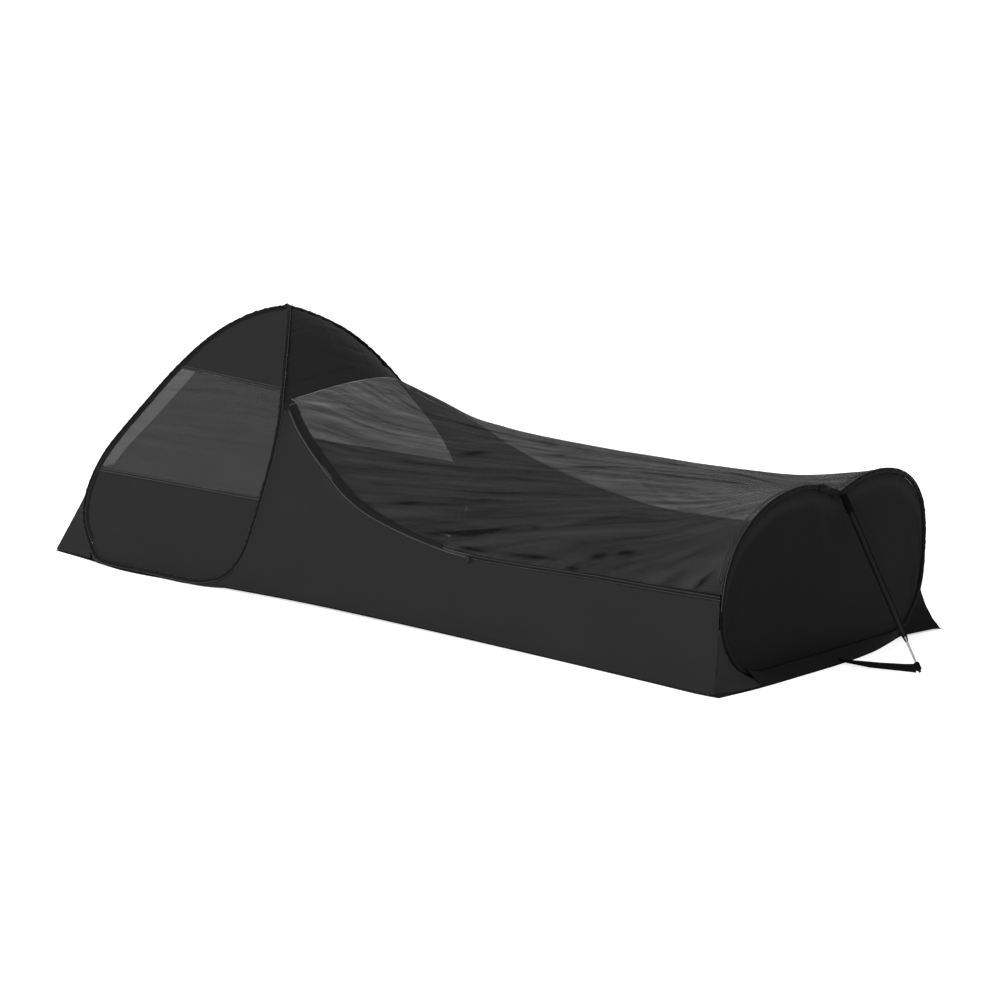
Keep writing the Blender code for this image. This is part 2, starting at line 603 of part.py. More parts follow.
def ties():
    """The gathered sleeve beside the notch and the small cap where the head hoops meet."""
    ring = ring_line(720)
    near = ring[(ring[:, 2] > 0.3) & (ring[:, 1] < -0.004) & (ring[:, 1] > -TIE_REACH)]
    near = near[np.argsort(near[:, 1])][::4]
    pipe("foot_tie", near, TIE_RADIUS, RING_RADIUS + 0.0013, material("foot_tie", TRIM_BLACK, 0.8))
    loop = hoop_line(720)
    top = loop[:, 2].max() + HOOP_RADIUS + GAP
    x = loop[int(np.argmax(loop[:, 2])), 0]
    half = 2 * HOOP_RADIUS + 0.003
    outline = [(-half, top - 0.004), (-half + 0.0016, top - 0.0045), (-half + 0.003, top), (half - 0.003, top),
               (half - 0.0016, top - 0.0045), (half, top - 0.004), (half - 0.001, top + 0.0014),
               (0.0, top + 0.0030), (-half + 0.001, top + 0.0014)]
    prism("apex_cap", outline, "x", x - 0.010, x + 0.008, material("apex_cap", TRIM_BLACK, 0.7))


def strut():
    top = np.array([STRUT_TOP[0], 0.0, STRUT_TOP[1]])
    end = np.array([STRUT_END[0], 0.0, STRUT_END[1]])
    length = np.linalg.norm(end - top)
    way = (end - top) / length

    def along(*distances):
        return [top + way * d for d in distances]

    trim = material("strut_cloth", TRIM_BLACK, 0.7)
    metal = material("strut_metal", METAL_GREY, 0.3, 1.0)
    pipe("strut_pocket", along(0.0, 0.003, POCKET_LENGTH), POCKET_RADIUS, POLE_RADIUS + 0.0005, trim,
         closed_start=True)
    pipe("strut_pole", along(0.003 + GAP, length - 0.012), POLE_RADIUS, 0.0, metal)
    pipe("strut_sleeve", along(POCKET_LENGTH + GAP, SLEEVE_END), SLEEVE_RADIUS, POLE_RADIUS + 0.0005,
         material("strut_sleeve", TRIM_BLACK, 0.6))
    pipe("strut_tip", along(length - 0.012 + GAP, length - 0.003, length), POLE_RADIUS + 0.0006, 0.0,
         material("strut_tip", TRIM_BLACK, 0.5))
    loop = along(length - 0.0045 - STRAP_WIDTH, length - 0.0045)
    grommet = pipe("strut_strap", loop, POLE_RADIUS + 0.0032, POLE_RADIUS + 0.0012,
                   material("strut_strap", TRIM_BLACK, 0.8), sides=16)
    start = ring_x(0.01) + RING_RADIUS + GAP + 0.0002
    foot = FLOOR_TOP + GAP
    back = np.array([0.0056, 0.0, 0.0])
    high = loop[0] + way * 0.001 - back
    low = loop[1] - way * 0.001 - back
    outline = [(start, foot), (STRAP_FLAT, foot), (low[0] - 0.025, low[2] - 0.004), (low[0], low[2]),
               (high[0], high[2]), (STRAP_FLAT + 0.025, foot + 0.016), (start, foot + 0.0055)]
    webbing = prism("strap_webbing", outline, "y", -STRAP_THICKNESS / 2, STRAP_THICKNESS / 2, trim)
    join = grommet.modifiers.new("webbing", "BOOLEAN")
    join.operation = "UNION"
    join.solver = "EXACT"
    join.object = webbing
    webbing.hide_render = True
    webbing.display_type = "WIRE"


def main():
    clear_scene()
    groundsheet()
    both_sides(head_hoop)
    both_sides(head_side)
    head_wall()
    both_sides(head_gusset)
    both_sides(side_wall)
    roof()
    canopy()
    zip_band("zip", lambda grid: grid, material("zip", TRIM_BLACK, 0.6))
    zip_band("far_wall_binding", mirrored, material("far_wall_binding", TRIM_BLACK, 0.7))
    zip_flap()
    zip_slider()
    foot_end()
    both_sides(foot_gusset)
    ties()
    strut()


main()
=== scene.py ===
import math

import bpy
import numpy as np
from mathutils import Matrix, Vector


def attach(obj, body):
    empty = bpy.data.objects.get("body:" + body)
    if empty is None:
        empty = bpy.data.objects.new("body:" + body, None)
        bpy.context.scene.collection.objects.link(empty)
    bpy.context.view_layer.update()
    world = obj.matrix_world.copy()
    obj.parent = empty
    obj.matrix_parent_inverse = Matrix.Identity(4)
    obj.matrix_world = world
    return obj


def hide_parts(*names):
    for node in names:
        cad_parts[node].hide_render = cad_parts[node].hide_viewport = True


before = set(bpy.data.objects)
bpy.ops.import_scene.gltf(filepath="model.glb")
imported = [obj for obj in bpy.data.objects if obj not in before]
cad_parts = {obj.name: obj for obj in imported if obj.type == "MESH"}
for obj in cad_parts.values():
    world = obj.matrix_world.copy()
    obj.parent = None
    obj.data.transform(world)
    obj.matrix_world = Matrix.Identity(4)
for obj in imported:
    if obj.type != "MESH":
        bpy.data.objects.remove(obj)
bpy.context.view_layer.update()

# The view
# The tent is seen from low down off its near side and foot, through a long lens, as one sees a
# small tent laid out in a studio.
VIEW_TURN = math.radians(42.8)
VIEW_RISE = math.radians(10.7)
VIEW_DISTANCE = 6.73
VIEW_AIM = Vector((0.10, 0.0, 0.23))
FRAME_PIXELS = 1001
FOCAL_PIXELS = 2800
SENSOR_WIDTH = 36.0
VIEW_REACH = 1000.0


def into_scene(name, data):
    """A new object around its data, linked to the scene at the origin."""
    made = bpy.data.objects.new(name, data)
    bpy.context.scene.collection.objects.link(made)
    return made


back = Vector((math.sin(VIEW_TURN) * math.cos(VIEW_RISE), -math.cos(VIEW_TURN) * math.cos(VIEW_RISE),
               math.sin(VIEW_RISE)))
eye = into_scene("view", bpy.data.cameras.new("view"))
eye.data.sensor_fit = "HORIZONTAL"
eye.data.sensor_width = SENSOR_WIDTH
eye.data.lens = SENSOR_WIDTH * FOCAL_PIXELS / FRAME_PIXELS
eye.data.clip_end = VIEW_REACH
eye.location = VIEW_AIM + back * VIEW_DISTANCE
eye.rotation_euler = back.to_track_quat("Z", "Y").to_euler()
bpy.context.scene.camera = eye
bpy.context.scene.view_settings.view_transform = "Standard"

# The studio
# A white floor that runs out of sight, a white room round it, and one broad soft lamp off the
# near side of the head.
FLOOR_SIZE = 600.0
FLOOR_LEVEL = -0.0004
FLOOR_WHITE = (0.93, 0.93, 0.93, 1.0)
FLOOR_GLOW = 0.45
PURE_WHITE = (1.0, 1.0, 1.0, 1.0)
ROOM_LIGHT = 1.0
LAMP_PLACE = Vector((-0.5, -6.1, 4.0))
LAMP_AIM = Vector((0.1, 0.0, 0.2))
LAMP_SIZE = 3.4
LAMP_WATTS = 170.0


class Strand:
    """A socket in a material's node tree; arithmetic on it adds the Math nodes that do it."""

    def __init__(self, tree, socket=None):
        self.tree = tree
        self.socket = socket

    def node(self, kind, settings=None, inputs=None, output=0):
        """Adds a node: its settings first, then its sockets, each a link or a fixed value."""
        made = self.tree.nodes.new("ShaderNode" + kind)
        for key, value in (settings or {}).items():
            setattr(made, key, value)
        for key, value in (inputs or {}).items():
            self.put(made, key, value)
        return Strand(self.tree, made.outputs[output])

    def other(self, output):
        """Another output of the same node."""
        return Strand(self.tree, self.socket.node.outputs[output])

    def put(self, made, key, value):
        """Links a strand to a node's socket, or gives the socket a value."""
        if isinstance(value, Strand):
            self.tree.links.new(value.socket, made.inputs[key])
        else:
            made.inputs[key].default_value = value

    def math(self, operation, first, second=0.0):
        return self.node("Math", {"operation": operation}, {0: first, 1: second})

    def __add__(self, other):
        return self.math("ADD", self, other)

    def __sub__(self, other):
        return self.math("SUBTRACT", self, other)

    def __rsub__(self, other):
        return self.math("SUBTRACT", other, self)

    def __mul__(self, other):
        return self.math("MULTIPLY", self, other)

    __radd__ = __add__
    __rmul__ = __mul__

    def blend(self, low, high):
        """A colour between low and high, by this value from 0 to 1."""
        return self.node("Mix", {"data_type": "RGBA"}, {0: self, 6: low, 7: high}, output=2)


def new_material(name):
    """A material, its Principled shader, and a strand to start its nodes from."""
    made = bpy.data.materials.new(name)
    made.use_nodes = True
    return made, made.node_tree.nodes["Principled BSDF"], Strand(made.node_tree)


def fill(start, shader, values):
    """Sets a shader's sockets: a strand is linked, anything else is its fixed value."""
    for key, value in values.items():
        start.put(shader, key, value)


def add_mesh(name, points, faces, look, uv=None, smooth=True):
    """A mesh object at the origin; uv holds a point's place on the cloth, in metres."""
    mesh = bpy.data.meshes.new(name)
    mesh.from_pydata(points.reshape(-1, 3).tolist(), [], faces)
    mesh.polygons.foreach_set("use_smooth", [smooth] * len(mesh.polygons))
    if uv is not None:
        corner_of = np.zeros(len(mesh.loops), int)
        mesh.loops.foreach_get("vertex_index", corner_of)
        layer = mesh.uv_layers.new(name="cloth")
        layer.data.foreach_set("uv", uv.reshape(-1, 2)[corner_of].ravel())
    mesh.materials.append(look)
    return into_scene(name, mesh)


studio_white, floor_shader, start = new_material("studio_floor")
fill(start, floor_shader, {"Base Color": FLOOR_WHITE, "Roughness": 0.95, "Specular IOR Level": 0.0,
                           "Emission Color": PURE_WHITE, "Emission Strength": FLOOR_GLOW})
floor_corners = np.array([(-1, -1), (1, -1), (1, 1), (-1, 1)]) * FLOOR_SIZE / 2
floor_points = np.column_stack([floor_corners, np.full(4, FLOOR_LEVEL)])
add_mesh("studio_floor", floor_points, [(0, 1, 2, 3)], studio_white, smooth=False)

room = bpy.data.worlds.new("white_room")
room.use_nodes = True
fill(Strand(room.node_tree), room.node_tree.nodes["Background"],
     {"Color": PURE_WHITE, "Strength": ROOM_LIGHT})
bpy.context.scene.world = room

lamp = into_scene("soft_lamp", bpy.data.lights.new("soft_lamp", "AREA"))
lamp.data.energy = LAMP_WATTS
lamp.data.size = LAMP_SIZE
lamp.location = LAMP_PLACE
lamp.rotation_euler = (LAMP_PLACE - LAMP_AIM).to_track_quat("Z", "Y").to_euler()

# Groundsheet
# The floor of the tent is one piece of coated black cloth, drawn in along its sides by the walls
# and pushed out by the hoops. It lies flat apart from shallow rucks.
HEAD_X = -1.100
FOOT_X = 1.100
GROUND_EDGE = [(-1.100, 0.404), (-1.00, 0.415), (-0.90, 0.428), (-0.80, 0.445), (-0.70, 0.445),
               (-0.60, 0.433), (-0.50, 0.415), (-0.40, 0.404), (-0.20, 0.390), (0.00, 0.387),
               (0.30, 0.392), (0.60, 0.401), (0.90, 0.414), (1.04, 0.421), (1.10, 0.418)]
FOOT_EDGE = [(-0.418, 1.105), (-0.300, 1.116), (-0.150, 1.118), (0.000, 1.117), (0.120, 1.106),
             (0.210, 1.086), (0.300, 1.062), (0.360, 1.059), (0.395, 1.070), (0.418, 1.090)]
CORNER_HALF = 0.418
# under each hoop the sheet reaches out to the tube: x and half width
HOOP_FOOT = np.array([(-0.97, 0.0), (-0.91, 0.428), (-0.85, 0.440), (-0.56, 0.441), (-0.50, 0.429),
                      (-0.46, 0.411), (-0.40, 0.0)])
EDGE_HEM = 0.002
FOOT_BEND = 14
GROUND_CLEAR = 0.0001
FLAT_SIDES = 0.12
FLAT_ENDS = 18
GROUND_RUCK = 0.0035
GROUND_SHADE = 0.0075
COOL_TINT = 1.03
CLOTH_THICK = 0.0008
OUTLINE_STEPS = 24


def travelled(line):
    """Metres along a line from its first point to each of its points."""
    return np.concatenate([[0.0], np.cumsum(np.linalg.norm(np.diff(line, axis=0), axis=1))])


def evenly(line, count, closed=False):
    """The same line through count evenly spaced points; a closed one leaves out the repeated end."""
    length = travelled(line)
    where = np.linspace(0.0, length[-1], count, endpoint=not closed)
    return np.column_stack([np.interp(where, length, line[:, k]) for k in range(line.shape[1])])


def smooth_line(points, closed, count):
    """Evenly spaced points on a smooth curve: between two of the given points it is a cubic whose
    slope at each end is half the step from the point before to the point after."""
    points = np.asarray(points, float)
    if closed:
        padded = np.vstack([points[-1:], points, points[:2]])
    else:
        padded = np.vstack([2 * points[0] - points[1], points, 2 * points[-1] - points[-2]])
    a, b, c, d = padded[:-3, None], padded[1:-2, None], padded[2:-1, None], padded[3:, None]
    t = np.linspace(0.0, 1.0, OUTLINE_STEPS, endpoint=False)[None, :, None]
    dense = 0.5 * (2 * b + (c - a) * t + (2 * a - 5 * b + 4 * c - d) * t**2 + (3 * b - a - 3 * c + d) * t**3)
    dense = np.vstack([dense.reshape(-1, points.shape[1]), padded[-2:-1]])
    return evenly(dense, count, closed)


def spread(grid):
    """Metres from a panel's first column and from its first row, measured along the cloth."""
    along = np.cumsum(np.linalg.norm(np.diff(grid, axis=1), axis=2), axis=1)
    across = np.cumsum(np.linalg.norm(np.diff(grid, axis=0), axis=2), axis=0)
    return np.pad(along, ((0, 0), (1, 0))), np.pad(across, ((1, 0), (0, 0)))


def grid_faces(rows, columns, around=False, ring=False):
    """Four-cornered faces of a grid of points; around joins its last column to the first, ring its
    last row to the first."""
    at = np.arange(rows * columns).reshape(rows, columns)
    if around:
        at = np.concatenate([at, at[:, :1]], axis=1)
    if ring:
        at = np.concatenate([at, at[:1]], axis=0)
    return np.stack([at[:-1, :-1], at[:-1, 1:], at[1:, 1:], at[1:, :-1]], axis=-1).reshape(-1, 4).tolist()


def panel(name, grid, look, thickness=CLOTH_THICK):
    """A panel of cloth through a grid of points, rows by columns, given its thickness by Solidify.
    Its UV map is in metres, from the middle of each row."""
    s, t = spread(grid)
    uv = np.stack([s - s[:, -1:] / 2, t], axis=-1)
    made = add_mesh(name, grid, grid_faces(*grid.shape[:2]), look, uv)
    solid = made.modifiers.new("thickness", "SOLIDIFY")
    solid.thickness = thickness
    solid.offset = 0.0
    made.modifiers.new("flat_faces", "WEIGHTED_NORMAL")
    return made


def cut_size(grid):
    """Width, length and area in metres of the flat cloth that a smooth panel is cut from."""
    s, t = spread(grid)
    first = grid[1:, :-1] - grid[:-1, :-1]
    second = grid[:-1, 1:] - grid[:-1, :-1]
    third = grid[1:, :-1] - grid[1:, 1:]
    fourth = grid[:-1, 1:] - grid[1:, 1:]
    area = (np.linalg.norm(np.cross(first, second), axis=2).sum()
            + np.linalg.norm(np.cross(third, fourth), axis=2).sum()) / 2
    width, length = s[:, -1].max(), t[-1].max()
    return (float(width), float(length)), float(min(area, width * length))


def fasten(piece, slot, *nodes):
    """The piece moves with the tent and stands for the CAD nodes; slot is not used."""
    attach(piece, "root")
    if nodes:
        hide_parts(*nodes)
    return piece


def declare(smooth_grid):
    """Works out the size of the flat cloth that the piece was cut from, by the panel's shape before its
    folds, and keeps none of it.
    """
    flat, area = cut_size(smooth_grid)


def fade_in(distance, reach):
    """0 at an edge, and 1 from reach metres in."""
    return np.clip(distance / reach, 0.0, 1.0)


def rucks(s, t, seed, count, length, width, depth, lean=0.0, spread_lean=0.2):
    """Soft folds in a cloth: each is a ridge or a furrow whose height falls off as a bell across
    its width and along its length, laid along s and turned by lean."""
    draw = np.random.default_rng(seed)
    total = np.zeros(s.shape)
    places = draw.uniform(0.0, 1.0, (count, 2))
    turns = lean + draw.normal(0.0, spread_lean, count)
    lengths = length * draw.uniform(0.5, 1.5, count)
    widths = width * draw.uniform(0.6, 1.5, count)
    heights = depth * draw.uniform(-1.0, 1.0, count)
    for (a, b), turn, long, wide, high in zip(places, turns, lengths, widths, heights):
        ds = s - (s.min() + a * np.ptp(s))
        dt = t - (t.min() + b * np.ptp(t))
        forward = ds * math.cos(turn) + dt * math.sin(turn)
        sideways = dt * math.cos(turn) - ds * math.sin(turn)
        total += high * np.exp(-(forward / long) ** 2 - (sideways / wide) ** 2)
    return total


def shade(grey):
    """A grey of that brightness, faintly cool as black polyester is."""
    return (grey, grey, grey * COOL_TINT, 1.0)


def woven(name, grey, pitch=0.0009, patches=0.12, rough=0.75, gloss=0.04, sheen=0.01, relief=0.00008,
          band=None):
    """Plain-woven polyester: warp and weft as two crossed waves, with threads of uneven thickness,
    and a cloudy drift of tone over the panel. band paints a highlight into the colour: the distance
    from the first row, the width and the extra brightness of a soft paler band, which falls off as a bell."""
    made, shader, start = new_material(name)
    place = start.node("UVMap", {"uv_map": "cloth"})
    warp = start.node("SeparateXYZ", inputs={0: place})
    weft = warp.other(1)
    turns = 2.0 * math.pi / pitch
    weave = start.math("SINE", warp * turns) * start.math("SINE", weft * turns)
    clouds = start.node("TexNoise", inputs={"Vector": place, "Scale": 5.0, "Detail": 3.0})
    stretched = start.node("Mapping", inputs={"Vector": place, "Scale": (9.0, 900.0, 1.0)})
    slubs = start.node("TexNoise", inputs={"Vector": stretched, "Scale": 1.0, "Detail": 1.0})
    tone = clouds * 1.4 - 0.2 + (slubs - 0.5) * 0.5 + weave * 0.12
    tone = start.node("Clamp", inputs={"Value": tone})
    colour = tone.blend(shade(grey * (1.0 - patches)), shade(grey * (1.0 + patches)))
    # painted highlight: a soft paler band across the panel, standing for light that grazes it
    if band:
        away = (weft - band[0]) * (1.0 / band[1])
        pale = start.math("EXPONENT", away * away * -1.0) * (clouds * 0.8 + 0.6)
        pale = start.node("Clamp", inputs={"Value": pale})
        colour = pale.blend(colour, shade(grey * (1.0 + band[2])))
    height = weave * 0.5 + slubs
    bump = start.node("Bump", inputs={"Strength": 0.5, "Distance": relief, "Height": height})
    fill(start, shader, {"Base Color": colour, "Roughness": clouds * 0.12 + (rough - 0.06), "Normal": bump,
                         "Specular IOR Level": gloss, "Sheen Weight": sheen, "Sheen Roughness": 0.5})
    return made


def ground_half(x):
    """Half the sheet's width at x, read off the smooth curve through its edge points."""
    flat = smooth_line(GROUND_EDGE, False, 200)
    return np.interp(x, flat[:, 0], flat[:, 1])


# x runs evenly along the tent and y is a share of half the width there; the last stretch follows
# the foot edge, by a power of the share along the tent
foot_edge = smooth_line(FOOT_EDGE, False, 200)
along = np.linspace(0.0, 1.0, 241)[None, :]
across = np.linspace(-1.0, 1.0, 81)[:, None]
even_x = HEAD_X + (FOOT_X - HEAD_X) * along
foot_shift = np.interp(across * (CORNER_HALF + EDGE_HEM), foot_edge[:, 0], foot_edge[:, 1]) - FOOT_X
ground_x = even_x + foot_shift * along**FOOT_BEND
under_hoop = np.interp(even_x, HOOP_FOOT[:, 0], HOOP_FOOT[:, 1])
ground_y = across * np.maximum(ground_half(even_x) + EDGE_HEM, under_hoop)
ground_z = np.full(ground_x.shape, CLOTH_THICK / 2 + GROUND_CLEAR)
ground_flat = np.stack([ground_x, ground_y, ground_z], axis=-1)
s, t = spread(ground_flat)
inside = fade_in(1 - np.abs(across), FLAT_SIDES)
inside = inside * np.clip(along * FLAT_ENDS, 0, 1) * np.clip((1 - along) * FLAT_ENDS, 0, 1)
folds = rucks(s, t, seed=3, count=70, length=0.16, width=0.018, depth=GROUND_RUCK, lean=0.5, spread_lean=0.9)
ground = ground_flat.copy()
ground[..., 2] += inside * np.maximum(0.0, GROUND_RUCK * 0.4 + folds)
ground_cloth = woven("coated_ground_cloth", GROUND_SHADE, rough=0.55, gloss=0.08)
groundsheet = fasten(panel("ground_cloth", ground, ground_cloth), "groundsheet", "groundsheet")
declare(ground_flat)

# Head hoops
# Each hoop is a ring of sprung steel in a sleeve of black binding. The sleeve is flattened where it
# is sewn to the panels, puckers along its length, and is edged with a fine piping on both sides.
HOOP_RADIUS = 0.006
HOOP_TOP = 0.637
GAP = 0.0004
FLOOR_TOP = 0.0020
HOOP_SPREAD = [(0.000, 0.450), (0.010, 0.438), (0.030, 0.414), (0.060, 0.398), (0.110, 0.385),
               (0.180, 0.360), (0.251, 0.328), (0.320, 0.288), (0.398, 0.236), (0.470, 0.190),
               (0.530, 0.147), (0.577, 0.103), (0.607, 0.063), (0.626, 0.031), (0.6345, 0.013),
               (0.640, 0.0064), (0.670, 0.0064)]
HOOP_OUTLINE = [(-0.636, HOOP_TOP), (-0.605, 0.626), (-0.562, 0.600), (-0.520, 0.563), (-0.479, 0.507),
                (-0.444, 0.444), (-0.411, 0.374), (-0.386, 0.300), (-0.377, 0.220), (-0.380, 0.147),
                (-0.391, 0.094), (-0.434, 0.034), (-0.485, 0.0140), (-0.560, 0.0092), (-0.700, 0.0092),
                (-0.850, 0.0092), (-0.925, 0.0220), (-0.979, 0.060), (-1.006, 0.115), (-1.009, 0.180),
                (-0.990, 0.257), (-0.950, 0.333), (-0.896, 0.427), (-0.842, 0.505), (-0.789, 0.567),
                (-0.733, 0.611), (-0.680, 0.632)]
FINE_LOOP = 2160
SLEEVE_POINTS = 900
SLEEVE_AROUND = 18
SLEEVE_LENGTH = 2.6
SLEEVE_WIDE = 0.0052
SLEEVE_THICK = 0.0046
SLEEVE_PUCKER = 0.0007
PUCKER_PITCH = 0.019
TWIST_PITCH = 0.031
SLEEVE_SHADE = 0.0070
PIPING_RADIUS = 0.0007
PIPING_BESIDE = 0.0004
PIPING_PROUD = 0.0008
PIPING_GLINT_GREY = 0.050


def unit(vectors):
    """Each vector divided by its own length."""
    return vectors / np.maximum(np.linalg.norm(vectors, axis=-1), 1e-9)[..., None]


def as_made(grid):
    """A near-side piece: its points stay where they are."""
    return grid


def mirrored(grid):
    """The far side's mirror image: the same points with y negated."""
    return grid * np.array([1.0, -1.0, 1.0])


SIDES = (("near", as_made), ("far", mirrored))


def hoop_half(z):
    """Half the distance between the hoops at height z."""
    flat = smooth_line(HOOP_SPREAD, False, 400)
    return np.maximum(np.interp(z, flat[:, 0], flat[:, 1]), HOOP_RADIUS + GAP)


def hoop_line(count=FINE_LOOP):
    """The near hoop: a smooth closed outline in x and z, with y at minus half the hoops' distance."""
    flat = smooth_line(HOOP_OUTLINE, True, count)
    flat[:, 1] = np.maximum(flat[:, 1], FLOOR_TOP + GAP + HOOP_RADIUS)
    return np.column_stack([flat[:, 0], -hoop_half(flat[:, 1]), flat[:, 1]])


def loop_tangents(loop):
    """Unit directions round a closed line, from the point before to the point after."""
    return unit(np.roll(loop, -1, axis=0) - np.roll(loop, 1, axis=0))


def hoop_frame(count):
    """The near hoop's line, the panel's normal there and the way out of the loop."""
    loop = hoop_line(count)
    step = 0.001
    slope = (hoop_half(loop[:, 2] + step) - hoop_half(loop[:, 2] - step)) / (2 * step)
    normal = unit(np.column_stack([np.zeros(count), -np.ones(count), -slope]))
    out = np.cross(loop_tangents(loop), normal)
    if np.mean(np.einsum("ij,ij->i", out, loop - loop.mean(axis=0))) < 0:
        out = -out
    return loop, normal, out


def turn_out(made):
    """Turns a closed mesh's faces outwards if they point in: its signed volume is then negative."""
    mesh = made.data
    mesh.calc_loop_triangles()
    corners = np.zeros(len(mesh.loop_triangles) * 3, int)
    mesh.loop_triangles.foreach_get("vertices", corners)
    spots = np.zeros(len(mesh.vertices) * 3)
    mesh.vertices.foreach_get("co", spots)
    a, b, c = np.moveaxis(spots.reshape(-1, 3)[corners.reshape(-1, 3)], 1, 0)
    if np.einsum("ij,ij->i", a, np.cross(b, c)).sum() < 0:
        mesh.flip_normals()


def swept(name, path, side, up, profile, look, closed=False):
    """A profile carried along a path: a point of it lies at its own distances along the path's side
    and up directions. profile is (points, 2), or (path, points, 2) where it changes on the way."""
    profile = np.broadcast_to(profile, (len(path),) + profile.shape[-2:])
    side, up = np.broadcast_to(side, path.shape), np.broadcast_to(up, path.shape)
    points = path[:, None] + profile[..., :1] * side[:, None] + profile[..., 1:] * up[:, None]
    rows, columns = points.shape[:2]
    faces = grid_faces(rows, columns, around=True, ring=closed)
    if not closed:
        faces += [list(range(columns))[::-1], list(range((rows - 1) * columns, rows * columns))]
    around = np.linspace(0.0, 2 * math.pi * np.abs(profile[..., 0]).max(), columns)
    uv = np.stack(np.broadcast_arrays(travelled(path)[:, None], around[None, :]), axis=-1)
    made = add_mesh(name, points, faces, look, uv)
    turn_out(made)
    return made


def round_profile(wide, thick, count):
    """An ellipse with these half axes, by the cosine and sine of evenly spaced turns."""
    turn = np.linspace(0.0, 2 * math.pi, count, endpoint=False)
    return np.column_stack([wide * np.cos(turn), thick * np.sin(turn)])


def cord(name, line, up, radius, look, slot, side=None, lift=0.0, place=as_made, sides=8, closed=False):
    """A round cord along a line on a surface whose normals are up, raised off it by lift."""
    if side is None:
        side = np.cross(unit(np.gradient(line, axis=0)), up)
    profile = round_profile(radius, radius, sides)
    made = swept(name, place(line + up * lift), place(side), place(up), profile, look, closed)
    return fasten(made, slot)


def ripple(length, pitch, seed, waves=5):
    """An uneven wave along a seam: a few sine waves whose pitches lie about the given one."""
    draw = np.random.default_rng(seed)
    pitches = pitch * draw.uniform(0.6, 1.9, waves)
    phases = draw.uniform(0.0, 2 * math.pi, waves)
    return np.mean([np.sin(2 * math.pi * length / p + f) for p, f in zip(pitches, phases)], axis=0) * 1.6


hoop_cloth = woven("hoop_binding", SLEEVE_SHADE, pitch=0.0012, patches=0.25, rough=0.65)
# the piping is a real cord; its pale grey is painted highlight, for the glint that runs along it
piping_cloth_painted_glint = woven("piping_cord_painted_glint", PIPING_GLINT_GREY, pitch=0.0014, patches=0.35, rough=0.65)

loop, normal, out = hoop_frame(SLEEVE_POINTS)
length = np.linspace(0.0, SLEEVE_LENGTH, SLEEVE_POINTS, endpoint=False)
pucker = SLEEVE_PUCKER * ripple(length, PUCKER_PITCH, 11)[:, None]
two_turns = np.sin(np.linspace(0.0, 4 * math.pi, SLEEVE_AROUND, endpoint=False))
twisted = SLEEVE_PUCKER * 0.5 * two_turns[None, :] * ripple(length, TWIST_PITCH, 12)[:, None]
plain_sleeve = round_profile(SLEEVE_WIDE, SLEEVE_THICK, SLEEVE_AROUND)[None]
sleeve_profile = plain_sleeve * (1.0 + (pucker + twisted) / SLEEVE_THICK)[..., None]
for side, place in SIDES:
    sleeve = swept("hoop_sleeve_" + side, place(loop), place(out), place(normal), sleeve_profile, hoop_cloth,
                   closed=True)
    fasten(sleeve, "trim", "head_hoop_" + side)
    for edge, shift in (("outer", SLEEVE_WIDE + PIPING_BESIDE), ("inner", -SLEEVE_WIDE - PIPING_BESIDE)):
        cord("hoop_piping_" + edge + "_" + side, loop + shift * out, normal, PIPING_RADIUS, piping_cloth_painted_glint,
             "trim", side=out, lift=PIPING_PROUD, place=place, closed=True)

# Head side panels
# Inside each hoop a panel of black taffeta is sewn in three parts: a solid skirt, a wide mesh
# window and a solid top. Taped, twice-stitched seams run across above and below the window.
WINDOW_BOTTOM = 0.220
WINDOW_TOP = 0.465
WALL_SHADE = 0.0167
HEM_SHADE = 0.0085
NET_SHADE = 0.056
NET_COVER = 0.555
NET_PITCH = 0.0021
SEAM_TAPE = 0.0100
EDGE_TAPE = 0.0095
HEAD_SEAM_RISE = 0.018
SIDE_COLUMNS = 96
SEAM_COLUMNS = 120
SEAM_HALF = 0.002
PANEL_CLEAR = 0.0012
EDGE_TAPE_IN = 0.0055
EDGE_TAPE_FROM = 0.05
THREAD_SHADE = 0.110
STITCH_LENGTH = 0.0045
STITCH_PITCH = 0.0072
STITCH_RADIUS = 0.0005
STITCH_RAISE = 0.0014
STITCH_ROWS = (-0.0030, 0.0030)
TENT_MIDDLE = np.array([0.1, 0.0, 0.1])


def facing_out(grid):
    """Unit normals of a panel, turned away from the middle of the tent."""
    normal = unit(np.cross(np.gradient(grid, axis=1), np.gradient(grid, axis=0)))
    return normal * np.sign(np.sum(normal * (grid - TENT_MIDDLE)))


def sew(name, smooth, folds, look, slot, holders, *nodes, held="stretched", place=as_made,
        thickness=CLOTH_THICK):
    """A whole panel: a smooth surface moved out along its normals by the height of its folds."""
    folded = smooth + facing_out(smooth) * folds[..., None]
    piece = fasten(panel(name, place(folded), look, thickness), slot, *nodes)
    declare(place(smooth))
    return piece


def hoop_offset(distance):
    """The near hoop moved sideways in the side panel's own surface; positive is outwards."""
    loop, _, out = hoop_frame(FINE_LOOP)
    return loop + distance * out


def side_of(loop, foot_side):
    """The foot-side or head-side half of a loop, ordered from its lowest point up."""
    top = int(np.argmax(loop[:, 2]))
    turned = np.roll(loop, -top, axis=0)
    low = int(np.argmin(turned[:, 2]))
    half = turned[:low + 1][::-1] if foot_side else turned[low:]
    keep = np.concatenate([[True], np.diff(np.maximum.accumulate(half[:, 2])) > 1e-7])
    return half[keep]


def at_height(half, z):
    """Points of a half loop at heights z: its x and y are interpolated over its z."""
    z = np.clip(z, half[0, 2], half[-1, 2])
    return np.column_stack([np.interp(z, half[:, 2], half[:, 0]), np.interp(z, half[:, 2], half[:, 1]), z])


def between(low_edge, high_edge, count):
    """Straight rows from each point of one edge to the matching point of another."""
    share = np.linspace(0.0, 1.0, count)[None, :, None]
    return low_edge[:, None] * (1 - share) + high_edge[:, None] * share


